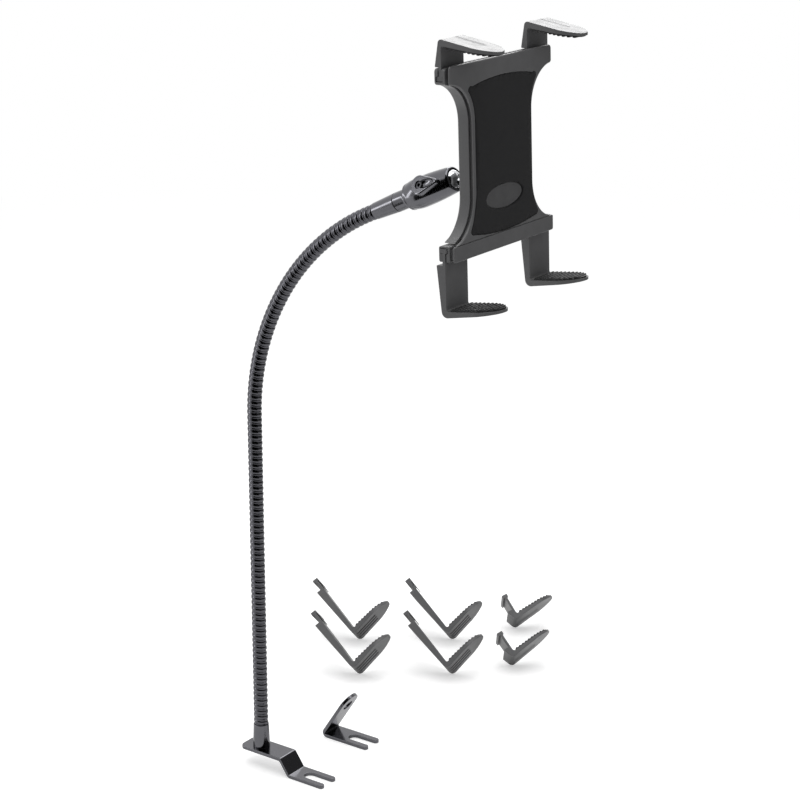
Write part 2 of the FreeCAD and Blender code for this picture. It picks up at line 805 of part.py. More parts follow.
def retaining_clip():
    """The ring in the pin's groove that keeps the stud in its plate."""
    low, high = "shell_back + clip_gap", "shell_back + clip_gap + clip_thick"
    return turned("retaining_clip", [
        ("pin_radius - clip_groove + screw_gap", low),
        ("clip_radius", low),
        ("clip_radius", high),
        ("pin_radius - clip_groove + screw_gap", high),
    ], STUD)


def stud_plate():
    """The plate on the holder's back that carries the stud's pin."""
    half, tall = "stud_plate_wide / 2", "stud_plate_high / 2"
    place = HOLDER.multiply(Placement(Vector(size("shell_back - stud_plate_thick"), 0, 0), Rotation()))
    body = padded("plate_shape", "YZ_Plane", [
        (f"-{half}", f"-{tall}"),
        (half, f"-{tall}"),
        (half, tall),
        (f"-{half}", tall),
    ], "stud_plate_thick", place=place)
    rounded(body, "stud_plate_corner", forward_edge)
    deep, back = "stud_plate_thick + 2 * cut_past", "shell_back - stud_plate_thick - cut_past"
    holes = [cylinder("pin_hole", "pin_radius + screw_gap", deep, holder_place(back, "0", "0"))]
    for across, up in plate_screw_spots():
        spot = holder_place(back, across, up)
        holes.append(cylinder("plate_hole", "plate_screw_radius + screw_gap", deep, spot))
    return named(cut("plate", body, joined("plate_holes", holes)), "stud_plate")


def plate_screw_spots():
    """Where the stud plate's four screws stand."""
    return [(f"{a}plate_screw_y", f"{b}plate_screw_z") for a in ("-", "") for b in ("-", "")]


def shell_screw_spots():
    """Where the shell's four screws stand."""
    return [(f"{a}post_y", b) for a in ("-", "") for b in ("post_low", "post_high")]


def holder_place(forward, across, up):
    """A place on the holder with its Z axis forward."""
    spot = Vector(size(forward), size(across), size(up))
    return HOLDER.multiply(Placement(spot, Rotation(Y_AXIS, 90)))


def plate_screws():
    """Four pan screws through the stud plate into the shell's bosses."""
    pattern = turned("plate_screw_shape", [
        ("0", "-plate_screw_cap"),
        ("plate_screw_head", "-plate_screw_cap"),
        ("plate_screw_head", "0"),
        ("plate_screw_radius", "0"),
        ("plate_screw_radius", "stud_plate_thick + shell_wall + screw_boss_high - screw_gap"),
        ("0", "stud_plate_thick + shell_wall + screw_boss_high - screw_gap"),
    ])
    places = [holder_place("shell_back - stud_plate_thick", a, b) for a, b in plate_screw_spots()]
    return set_of("plate_screws", pattern.Shape, places)


# Holder

EAR_FOOT = (
    "(upper_arc_height + sqrt(upper_arc_radius ^ 2"
    " - (waist_half + upper_arc_radius - half_width) ^ 2))"
)


def hourglass(top, foot):
    """The holder's outline seen from the front, whose lower flare ends at the foot."""
    half, waist = "half_width", "waist_half"
    upper, lower = "upper_arc_radius", "lower_arc_radius"
    reach = f"({waist} + {lower} - sqrt({lower} ^ 2 - (lower_arc_height + {foot}) ^ 2))"
    return [
        (f"-{reach}", f"-{foot}"),
        (reach, f"-{foot}", lower, "right"),
        (waist, "lower_arc_height"),
        (waist, "upper_arc_height", upper, "right"),
        (half, EAR_FOOT),
        (half, top),
        (f"-{half}", top),
        (f"-{half}", EAR_FOOT, upper, "right"),
        (f"-{waist}", "upper_arc_height"),
        (f"-{waist}", "lower_arc_height", lower, "right"),
    ]


def tray(top, foot, inset):
    """The outline of the shell's hollow, whose ears stop short of the slot's block."""
    waist = f"(waist_half - {inset})"
    upper, lower = f"(upper_arc_radius + {inset})", f"(lower_arc_radius + {inset})"
    reach_up = f"{waist} + {upper} - sqrt({upper} ^ 2 - ({top} - upper_arc_height) ^ 2)"
    reach_low = f"{waist} + {lower} - sqrt({lower} ^ 2 - (lower_arc_height - {foot}) ^ 2)"
    return [
        (f"-({reach_low})", foot),
        (reach_low, foot, lower, "right"),
        (waist, "lower_arc_height"),
        (waist, "upper_arc_height", upper, "right"),
        (reach_up, top),
        (f"-({reach_up})", top, upper, "right"),
        (f"-{waist}", "upper_arc_height"),
        (f"-{waist}", "lower_arc_height", lower, "right"),
    ]


def front_of(back):
    """A place on the holder at a depth forward of the ball."""
    return HOLDER.multiply(Placement(Vector(size(back), 0, 0), Rotation()))


def forward_edge(edge):
    """Whether an edge runs from the holder's back to its front."""
    return along(edge, HOLDER.Rotation.multVec(X_AXIS))


def ear_corner(edge, top):
    """Whether an edge is one of the ears' corners at a height on the holder."""
    height = HOLDER.inverse().multVec(edge.CenterOfMass).z
    return forward_edge(edge) and abs(height - size(top)) < 0.1


def slot_tool(name, mouth, sign):
    """The T-shaped hollow along the whole slot; sign is 1 above and -1 below the holder."""
    head = "upper_head_height" if sign > 0 else "-lower_head_height"
    flip = "" if sign > 0 else "-1 * "
    reach = "half_width * 2 + 4 * cut_past"
    low = size(f"{head} - {flip}slot_gap")
    high = size(f"{head} + {flip}(head_high + slot_gap)")
    lengths = ("head_deep + 2 * slot_gap", reach, "head_high + 2 * slot_gap")
    room = block(name + "_room", lengths, ("0", "0", "0"))
    room.Placement = HOLDER.multiply(Placement(
        Vector(size("leg_face - head_back_edge - slot_gap"), -size(reach) / 2, min(low, high)), Rotation()))
    neck_low, neck_high = sorted((size(mouth) + sign * size("cut_past"), size(f"{head} + {flip}head_high")))
    neck = doc.addObject("Part::Box", name + "_mouth")
    neck.setExpression("Length", bound("tongue_deep + 4 * slot_gap"))
    neck.setExpression("Width", bound(reach))
    neck.Height = neck_high - neck_low
    neck.Placement = HOLDER.multiply(Placement(
        Vector(size("leg_face - tongue_deep - 2 * slot_gap"), -size(reach) / 2, neck_low), Rotation()))
    return joined(name, [room, neck])


def rear_shell():
    """The back tray of the holder, with the upper slot for the legs along its top."""
    body = padded("shell_shape", "YZ_Plane", hourglass("shell_top", "shell_foot"), "shell_deep",
                  place=front_of("shell_back"))
    rounded(body, "ear_round", lambda edge: ear_corner(edge, "shell_top"))
    rounded(body, "ear_foot_round", lambda edge: ear_corner(edge, EAR_FOOT))
    hollow = padded("shell_hollow", "YZ_Plane", tray("tray_top", "(shell_wall - shell_foot)", "shell_wall"),
                    "shell_deep", place=front_of("shell_back + shell_wall"))
    bosses = [cylinder("boss", "screw_boss_radius", "screw_boss_high",
                       holder_place("shell_back + shell_wall", a, b)) for a, b in plate_screw_spots()]
    through, back = "shell_wall + 2 * cut_past", "shell_back - cut_past"
    holes = [cylinder("clip_hole", "clip_radius + guide_gap", through, holder_place(back, "0", "0"))]
    for a, b in plate_screw_spots():
        holes.append(cylinder("boss_hole", "plate_screw_radius + screw_gap", f"{through} + screw_boss_high",
                              holder_place(back, a, b)))
    for a, b in shell_screw_spots():
        spot = holder_place(back, a, b)
        holes.append(cylinder("screw_hole", "shell_screw_radius + screw_gap", through, spot))
    for sign in ("-", ""):
        gate = block("guide_gate", ("guide_thick + 2 * guide_gap", "guide_wide + 2 * guide_gap", through),
                     ("0", "0", "0"))
        gate.Placement = HOLDER.multiply(Placement(Vector(
            size("guide_back - guide_gap"),
            size(f"{sign}guide_y - guide_wide / 2 - guide_gap"),
            size("-shell_foot - cut_past")), Rotation()))
        holes.append(gate)
    holes.append(slot_tool("upper_slot", "shell_top", 1))
    shell = cut("shell_tray", body, hollow)
    bossed = joined("shell_bossed", [shell] + bosses)
    return named(cut("shell", bossed, joined("shell_holes", holes)), "rear_shell")


def front_plate():
    """The face of the holder, with the lip that enters the tray and the screw posts."""
    back = "shell_back + shell_deep + reveal_gap"
    face = padded("plate_face", "YZ_Plane", hourglass("plate_top", "plate_foot"), "plate_thick",
                  place=front_of(back))
    rounded(face, "ear_round", lambda edge: ear_corner(edge, "plate_top"))
    rounded(face, "ear_foot_round", lambda edge: ear_corner(edge, EAR_FOOT))
    outer = "(shell_wall + lip_gap)"
    inner = "(shell_wall + lip_gap + lip_wall)"
    lip_place = front_of(f"{back} - lip_deep")
    lip_edge = tray("(tray_top - lip_gap)", f"({outer} - shell_foot)", outer)
    room_edge = tray("(tray_top - lip_gap - lip_wall)", f"({inner} - shell_foot)", inner)
    lip = padded("plate_lip", "YZ_Plane", lip_edge, "lip_deep", place=lip_place)
    lip_room = padded("lip_room", "YZ_Plane", room_edge, "lip_deep", place=lip_place)
    ring = cut("lip_ring", lip, lip_room)
    posts = [cylinder("post", "post_radius", "shell_deep + reveal_gap - shell_wall - lip_gap",
                      holder_place("shell_back + shell_wall + lip_gap", a, b)) for a, b in shell_screw_spots()]
    holes = [cylinder("post_hole", "shell_screw_radius + screw_gap", "shell_screw_length",
                      holder_place("shell_back", a, b)) for a, b in shell_screw_spots()]
    holes.append(padded("pad_recess", "YZ_Plane", pad_outline("pad_gap"), "pad_sunk + cut_past",
                        place=front_of(f"{back} + plate_thick - pad_sunk")))
    whole = joined("plate_whole", [face, ring] + posts)
    return named(cut("front", whole, joined("front_holes", holes)), "front_plate")


def pad_outline(grow="0"):
    """The felt pad's outline, grown all round by a gap."""
    waist, corner = f"(pad_waist + {grow})", f"(pad_corner_y + {grow})"
    crown, foot = f"(pad_crown_z + {grow})", f"(-pad_foot_z - {grow})"
    upper, lower = f"(pad_upper_arc - {grow})", f"(pad_lower_arc - {grow})"
    return [
        ("-pad_foot_y", foot, f"pad_foot_radius + {grow}", "left"),
        ("pad_foot_y", foot, f"pad_round + {grow}", "left"),
        (corner, "-pad_knee_z", lower, "right"),
        (waist, "lower_arc_height"),
        (waist, "pad_waist_top", upper, "right"),
        (corner, "pad_shoulder_z", f"pad_round + {grow}", "left"),
        ("pad_crown_y", crown, f"pad_crown_radius + {grow}", "left"),
        ("-pad_crown_y", crown, f"pad_round + {grow}", "left"),
        (f"-{corner}", "pad_shoulder_z", upper, "right"),
        (f"-{waist}", "pad_waist_top"),
        (f"-{waist}", "lower_arc_height", lower, "right"),
        (f"-{corner}", "-pad_knee_z", f"pad_round + {grow}", "left"),
    ]


def oval(name, grow, thick):
    """The badge's oval, grown all round, as a plate on the floor of the pad's recess."""
    rim = doc.addObject("Part::Ellipse", name + "_rim")
    rim.setExpression("MajorRadius", bound(f"badge_half_wide + {grow}"))
    rim.setExpression("MinorRadius", bound(f"badge_half_high + {grow}"))
    plate = doc.addObject("Part::Extrusion", name)
    plate.Base = rim
    plate.DirMode = "Custom"
    plate.Dir = Z_AXIS
    plate.setExpression("LengthFwd", bound(thick))
    plate.Solid = True
    floor = size("shell_back + shell_deep + reveal_gap + plate_thick - pad_sunk")
    turn = Rotation(Y_AXIS, Z_AXIS, X_AXIS, "ZXY")
    plate.Placement = HOLDER.multiply(Placement(Vector(floor, 0, -size("badge_drop")), turn))
    return plate


def front_pad():
    """The felt that the tablet leans on, with an oval window for the badge."""
    felt = padded("pad_felt", "YZ_Plane", pad_outline(), "pad_thick",
                  place=front_of("shell_back + shell_deep + reveal_gap + plate_thick - pad_sunk"))
    window = oval("pad_window", "badge_gap", "pad_thick + cut_past")
    return named(cut("pad_windowed", felt, window), "front_pad")


def badge():
    """The bare oval plate in the felt's window."""
    plate = oval("badge_plate", "0", "badge_thick")
    return named(plate, "badge", plate.Placement)


def shell_screws():
    """Four pan screws from the back, through the shell into the plate's posts."""
    pattern = turned("shell_screw_shape", [
        ("0", "-shell_screw_radius"),
        ("shell_screw_head", "-shell_screw_radius"),
        ("shell_screw_head", "0"),
        ("shell_screw_radius", "0"),
        ("shell_screw_radius", "shell_screw_length - screw_gap"),
        ("0", "shell_screw_length - screw_gap"),
    ])
    places = [holder_place("shell_back", a, b) for a, b in shell_screw_spots()]
    return set_of("shell_screws", pattern.Shape, places)


# Lower bar

def lower_bar():
    """The bar that slides down out of the shell, with the lower slot for the legs."""
    body = block("bar_block", ("bar_deep", "bar_half * 2", "bar_foot - bar_top"), ("0", "0", "0"))
    body.Placement = HOLDER.multiply(Placement(
        Vector(size("bar_back"), -size("bar_half"), -size("bar_foot")), Rotation()))
    return named(cut("bar", body, slot_tool("lower_slot", "-bar_foot", -1)), "lower_bar")


def bar_cover():
    """The bar's front skin and the web that carries it."""
    web_back = "bar_back + bar_deep"
    face = "shell_back + shell_deep + reveal_gap + plate_thick"
    return padded("bar_cover", "XZ_Plane", [
        (web_back, "-cover_web_foot"),
        (f"{face} - cover_thick", "-cover_web_foot"),
        (f"{face} - cover_thick", "-bar_foot"),
        (face, "-bar_foot"),
        (face, "-bar_top"),
        (f"{face} - cover_thick", "-bar_top"),
        (f"{face} - cover_thick", "-cover_web_top"),
        (web_back, "-cover_web_top"),
    ], "bar_half * 2", both_ways=True, place=HOLDER)


def slide_guide():
    """The flat fork inside the shell that guides the bar."""
    outer, inner = "guide_y + guide_wide / 2", "guide_y - guide_wide / 2"
    return padded("slide_guide", "YZ_Plane", [
        (f"-({outer})", "-bar_top"),
        (f"-({inner})", "-bar_top"),
        (f"-({inner})", "guide_top - guide_bridge"),
        (inner, "guide_top - guide_bridge"),
        (inner, "-bar_top"),
        (outer, "-bar_top"),
        (outer, "guide_top"),
        (f"-({outer})", "guide_top"),
    ], "guide_thick", place=front_of("guide_back"))


# Legs. In a leg's own frame Z runs from its T-head to the hook and X out along the hook.

def side_prism(points, width):
    """A prism across the leg from a closed side outline (x, z)."""
    wire = Part.makePolygon([Vector(x, -width / 2, z) for x, z in points + points[:1]])
    return Part.Face(wire).extrude(Vector(0, width, 0))


def tongue(inset, height):
    """The hook's plan with its rounded end, as a prism along Z."""
    half = size("leg_width") / 2 - inset
    reach = size("hook_reach") - inset
    start, side = size("tongue_start"), size("tongue_side") - inset
    side_half = size("tongue_side_half") - inset / 2
    back = -size("leg_thick + cut_past")

    def spot(x, y):
        return Vector(x, y, 0)

    run, fall = side - start, half - side_half
    radius = (run ** 2 + fall ** 2) / (2 * fall)
    middle = asin(run / radius) / 2
    bulge_x = start + radius * sin(middle)
    bulge_y = half - radius * (1 - cos(middle))
    edges = [
        Part.makeLine(spot(back, -half), spot(start, -half)),
        Part.Arc(spot(start, -half), spot(bulge_x, -bulge_y), spot(side, -side_half)).toShape(),
        Part.Arc(spot(side, -side_half), spot(reach, 0), spot(side, side_half)).toShape(),
        Part.Arc(spot(side, side_half), spot(bulge_x, bulge_y), spot(start, half)).toShape(),
        Part.makeLine(spot(start, half), spot(back, half)),
        Part.makeLine(spot(back, half), spot(back, -half)),
    ]
    return Part.Face(Part.Wire(edges)).extrude(Vector(0, 0, height))


def hook_frame(length, lean):
    """The hook's outer face: X along the hook, Z outward, from the outer corner."""
    corner = Vector(-size("bend_thick"), 0, length)
    return Placement(corner, Rotation(Y_AXIS, lean))


def leg_shape(length, shoulder, lean, grooved, clipped):
    """A leg: T-head, tongue, shoulder, strip, bend and hook; a clipped one has its snap tab free."""
    slope, inner_slope = tan(radians(lean)), tan(radians(lean - size("hook_taper")))
    past = size("cut_past")
    thick, bend, hook = size("leg_thick"), size("bend_thick"), size("hook_thick")
    reach = size("hook_reach") + past
    head_back, high = size("head_back_edge"), size("head_high")
    head_front = size("head_deep") - head_back
    inner = length - bend * slope - hook / cos(radians(lean))
    shape = side_prism([
        (-head_back, 0),
        (head_front, 0),
        (head_front, high),
        (0, high),
        (0, inner),
        (reach, inner - reach * inner_slope),
        (reach, length - (reach + bend) * slope),
        (-bend, length),
        (-thick, shoulder),
        (-size("tongue_deep"), shoulder),
        (-size("tongue_deep"), high),
        (-head_back, high),
    ], size("leg_width"))
    corner = [edge for edge in shape.Edges if along(edge, Y_AXIS)
              and abs(edge.CenterOfMass.z - length) < 0.01 and abs(edge.CenterOfMass.x + bend) < 0.01]
    shape = shape.makeFillet(size("bend_round"), corner)
    shape = shape.common(tongue(0, length + past))
    face = hook_frame(length, lean)
    start = size("bend_round + cut_past")
    deep = size("channel_depth")
    if grooved:
        width = size("groove_width")
        lanes = [lane * size("groove_pitch") for lane in (-1, 0, 1)]
    else:
        width = size("channel_width")
        lanes = [0]
    for middle in lanes:
        channel = Part.makeBox(size("channel_end") - start, width, deep + past)
        channel.Placement = face.multiply(Placement(Vector(start, middle - width / 2, -deep), Rotation()))
        shape = shape.cut(channel)
    if clipped:
        tab = Part.makeBox(size("snap_tab_thick"), size("snap_tab_width"), size("snap_tab_length"))
        tab.translate(Vector(head_front - size("snap_tab_thick"), -size("snap_tab_width") / 2, high))
        shape = shape.fuse(tab).removeSplitter()
    return shape


def grip_shape(length, lean):
    """The ribbed rubber on the hook's inner face, in the leg's own frame."""
    slope = tan(radians(lean))
    inner = length - size("bend_thick") * slope - size("hook_thick") / cos(radians(lean))
    along_face = Placement(Vector(0, 0, inner), Rotation(Y_AXIS, lean - size("hook_taper")))
    flat, peak = -size("grip_thick"), -size("grip_thick + grip_rib_high")
    start, pitch, wide = size("grip_start"), size("grip_rib_pitch"), size("grip_rib_wide")
    chamfer = size("grip_rib_high") / 2
    ribs = int(size("grip_ribs"))
    stop = start + ribs * pitch + size("grip_end")
    points = [(start, 0), (start, flat)]
    for rib in range(ribs):
        left = start + rib * pitch + (pitch - wide) / 2
        points += [(left, flat), (left + chamfer, peak), (left + wide - chamfer, peak), (left + wide, flat)]
    points += [(stop, flat), (stop, 0)]
    shape = side_prism(points, size("leg_width"))
    shape.Placement = along_face
    return shape.common(tongue(size("grip_inset"), length))


def leg_with_grip(name, length, shoulder, lean, place, clipped=False):
    """A leg and its grip as two sub-parts in one place. A leg longer than the short one is grooved."""
    reach, slant = size(length), size(lean)
    solid(name, leg_shape(reach, size(shoulder), slant, length != "short_leg", clipped), place)
    solid(name + "_grip", grip_shape(reach, slant), place)


def installed_legs():
    """Two short legs above and two medium legs below, left and right of the middle."""
    for side, across in (("left", "-left_leg_y"), ("right", "right_leg_y")):
        above = Vector(size("leg_face"), size(across), size("upper_head_height"))
        leg_with_grip(f"upper_{side}_leg", "short_leg", "upper_shoulder", "short_lean",
                      HOLDER.multiply(Placement(above, Rotation())))
        below = Vector(size("leg_face"), size(across), -size("lower_head_height"))
        leg_with_grip(f"lower_{side}_leg", "medium_leg", "lower_shoulder", "medium_lean",
                      HOLDER.multiply(Placement(below, Rotation(1, 0, 0, 0))))


# Spares, which stand on the floor beside the foot

SPARE_BRACKET_SPOT = Vector(size("spare_x"), size("spare_y"), 0)


def spare_bracket():
    """The second foot: the same fork with its flap folded back over it."""
    rise = "spare_rise"
    back = "-spare_fold"
    inner = f"strip_thick / tan({rise} / 2) - spare_fold"
    body = padded("spare_shape", "XZ_Plane", [
        (back, "0"),
        ("fork_reach", "0"),
        ("fork_reach", "strip_thick"),
        (inner, "strip_thick"),
        (f"{back} + flap_length * cos({rise}) + strip_thick * sin({rise})",
         f"flap_length * sin({rise}) - strip_thick * cos({rise})"),
        (f"{back} + flap_length * cos({rise})", f"flap_length * sin({rise})"),
    ], "strip_width", both_ways=True, place=Placement(SPARE_BRACKET_SPOT, Rotation()))
    lean = radians(size("spare_rise"))
    flap_way = Vector(cos(lean), 0, sin(lean))
    flap_out = Vector(-sin(lean), 0, cos(lean))
    reach = SPARE_BRACKET_SPOT.x + size("fork_reach")
    bend = SPARE_BRACKET_SPOT + Vector(-size("spare_fold"), 0, 0)
    width = size("strip_width")
    rounded(body, "strip_thick + fold_round", lambda edge: along(edge, Y_AXIS)
            and edge.Length > width - 1 and (edge.CenterOfMass - bend).Length < 0.1)
    inner_spot = SPARE_BRACKET_SPOT + Vector(size(inner), 0, size("strip_thick"))
    rounded(body, "fold_round", lambda edge: along(edge, Y_AXIS)
            and (edge.CenterOfMass - inner_spot).Length < 0.1)
    rounded(body, "strip_width / 2 - screw_gap", lambda edge: along(edge, flap_out)
            and (edge.CenterOfMass - bend).dot(flap_way) > size("flap_length - cut_past"))
    slot = padded("spare_slot", "XY_Plane", [
        ("fork_reach + cut_past", "-fork_radius"),
        ("fork_reach + cut_past", "fork_radius"),
        ("0", "fork_radius", "fork_radius", "left"),
        ("-fork_radius", "0", "fork_radius", "left"),
        ("0", "-fork_radius"),
    ], "strip_thick * 2.5", both_ways=True, place=Placement(SPARE_BRACKET_SPOT, Rotation()))
    rounded(body, "tine_round", lambda edge: along(edge, Z_AXIS) and abs(edge.CenterOfMass.x - reach) < 0.1)
    centre = bend + flap_way * size("flap_length - flap_hole_in") - flap_out * size("strip_thick + cut_past")
    hole = cylinder("flap_hole_tool", "flap_hole", "strip_thick + 2 * cut_past",
                    Placement(centre, Rotation(Z_AXIS, flap_out)))
    return named(cut("spare", body, joined("spare_holes", [slot, hole])), "spare_bracket")


def standing(shape, spot, heading, rise, back):
    """The place of a spare leg that stands on its bend, its strip up to the left, laid back."""
    heading, rise, back = radians(heading), radians(rise), radians(back)
    level = Vector(cos(heading), sin(heading), 0)
    away = Vector(-sin(heading), cos(heading), 0)
    up = Z_AXIS * cos(back) + away * sin(back)
    down_strip = level * cos(rise) - up * sin(rise)
    up_hook = level * sin(rise) + up * cos(rise)
    turn = Rotation(up_hook, ORIGIN, down_strip, "ZXY")
    trial = shape.copy()
    trial.Placement = Placement(ORIGIN, turn)
    box = trial.optimalBoundingBox()
    lowest = min(trial.tessellate(0.02)[0], key=lambda point: point.z)
    return Placement(Vector(spot[0] - lowest.x, spot[1], -box.ZMin), turn)


def spare_legs():
    """Four long legs and two short ones; the last one stands a little flatter."""
    groups = [
        ("long", ("one", "two", "three", "four"), "lower_shoulder", "medium_lean"),
        ("short", ("one", "two"), "spare_shoulder", "short_lean"),
    ]
    for kind, order, shoulder, lean in groups:
        length = f"{kind}_leg"
        model = leg_shape(size(length), size(shoulder), size(lean), kind == "long", True)
        for number, word in enumerate(order, start=1):
            spot = (size(f"{kind}_{word}_x"), size(f"{kind}_{word}_y"))
            rise = "last_leg_rise" if (kind, word) == ("short", "two") else f"{length}_rise"
            place = standing(model, spot, size(f"{length}_heading"), size(rise), size(f"{length}_back"))
            leg_with_grip(f"spare_{kind}_leg_{number}", length, shoulder, lean, place, clipped=True)


rail_bracket()
foot_screw()
lower_ferrule()
for number in range(int(size("neck_parts"))):
    neck_segment(number)
upper_ferrule()
seam_washer()
ball_housing()
tension_screw()
pressure_plug()
ball_cup()
ball_stud()
retaining_clip()
stud_plate()
plate_screws()
rear_shell()
front_plate()
front_pad()
badge()
shell_screws()
lower_bar()
bar_cover()
slide_guide()
installed_legs()
spare_bracket()
spare_legs()
doc.recompute()

NODES = [
    "rail_bracket", "foot_screw", "lower_ferrule",
    *[f"neck_segment_{number + 1:02d}" for number in range(int(size("neck_parts")))],
    "upper_ferrule", "seam_washer", "ball_housing", "tension_screw", "pressure_plug",
    "ball_cup", "ball_stud", "retaining_clip", "stud_plate", "plate_screws",
    "rear_shell", "front_plate", "front_pad", "badge", "shell_screws",
    "lower_bar", "bar_cover", "slide_guide",
    *[f"{level}_{side}_leg{grip}" for level in ("upper", "lower")
      for side in ("left", "right") for grip in ("", "_grip")],
    "spare_bracket",
    *[f"spare_long_leg_{number}{grip}" for number in range(1, 5) for grip in ("", "_grip")],
    *[f"spare_short_leg_{number}{grip}" for number in range(1, 3) for grip in ("", "_grip")],
]

for item in doc.Objects:
    if "Invalid" in item.State or "Error" in item.State:
        raise ValueError(f"{item.Label} failed: {item.State}")

os.makedirs("parts", exist_ok=True)
for node in NODES:
    found = [item for item in doc.Objects if item.Label == node]
    shape = found[-1].Shape
    if shape.isNull() or not shape.isValid():
        raise ValueError(f"{node} has no valid shape")
    shape.exportStep(f"parts/{node}.step")
    print(node, len(shape.Solids), round(shape.Volume, 1))
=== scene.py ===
import json
import logging
from collections.abc import Callable, Sequence
from dataclasses import dataclass
from enum import Enum
from math import asin, atan2, cos, hypot, pi, radians, sin, sqrt, tan

import bmesh
import bpy
import numpy as np
from mathutils import Matrix, Vector
from mathutils.geometry import delaunay_2d_cdt


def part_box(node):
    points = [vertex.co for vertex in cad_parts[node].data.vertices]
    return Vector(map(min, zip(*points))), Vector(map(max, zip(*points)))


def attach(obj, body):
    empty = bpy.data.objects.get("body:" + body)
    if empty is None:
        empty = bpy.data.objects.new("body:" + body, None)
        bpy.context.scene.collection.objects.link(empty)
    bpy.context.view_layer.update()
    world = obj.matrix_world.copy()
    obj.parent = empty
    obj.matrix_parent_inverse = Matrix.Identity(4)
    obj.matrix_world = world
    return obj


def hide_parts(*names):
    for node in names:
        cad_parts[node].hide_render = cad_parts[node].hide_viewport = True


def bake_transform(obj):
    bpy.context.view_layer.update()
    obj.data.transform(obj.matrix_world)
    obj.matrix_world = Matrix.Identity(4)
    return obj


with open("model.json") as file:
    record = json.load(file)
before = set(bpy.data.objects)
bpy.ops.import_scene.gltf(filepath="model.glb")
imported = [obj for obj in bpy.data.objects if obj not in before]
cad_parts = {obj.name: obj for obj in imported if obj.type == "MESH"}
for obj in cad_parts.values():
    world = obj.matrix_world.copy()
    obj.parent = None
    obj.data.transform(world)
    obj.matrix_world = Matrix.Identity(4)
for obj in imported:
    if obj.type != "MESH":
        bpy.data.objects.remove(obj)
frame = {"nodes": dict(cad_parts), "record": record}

# A tablet holder on a gooseneck with a forked foot, its spare legs and its spare bracket.
# Forms are made in millimetres in their own frames and set down in metres.

logging.basicConfig(level=logging.INFO, format="%(message)s")
log = logging.getLogger("seat_rail_mount")

MM = 0.001
SHARP_DEG = 36.0
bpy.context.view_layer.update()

Pair = tuple[float, float]
Corner = Sequence[float]
Socket = bpy.types.NodeSocket


# Colours and nodes

def linear(code: str) -> tuple[float, float, float, float]:
    """Turns an sRGB hex colour to linear light.

    Args:
        code: the colour as #rrggbb.

    Returns:
        Red, green, blue and an alpha of 1.
    """
    parts = [int(code[i:i + 2], 16) / 255 for i in (1, 3, 5)]
    light = [c / 12.92 if c <= 0.04045 else ((c + 0.055) / 1.055) ** 2.4 for c in parts]
    return light[0], light[1], light[2], 1.0


def node(tree: bpy.types.NodeTree, kind: str, inputs: dict[str | int, object] | None = None,
         **settings: object) -> bpy.types.Node:
    """Adds a node with its settings and links.

    Args:
        tree: the node tree.
        kind: the node's type.
        inputs: a value or a socket to link for each input.
        settings: the node's own properties.

    Returns:
        The node.
    """
    made = tree.nodes.new(kind)
    for key, value in settings.items():
        setattr(made, key, value)
    for key, value in (inputs or {}).items():
        if isinstance(value, bpy.types.NodeSocket):
            tree.links.new(value, made.inputs[key])
        else:
            made.inputs[key].default_value = value
    return made


def per_metre(size_mm: float) -> float:
    """The texture scale whose features are a size in millimetres."""
    return 1000.0 / size_mm


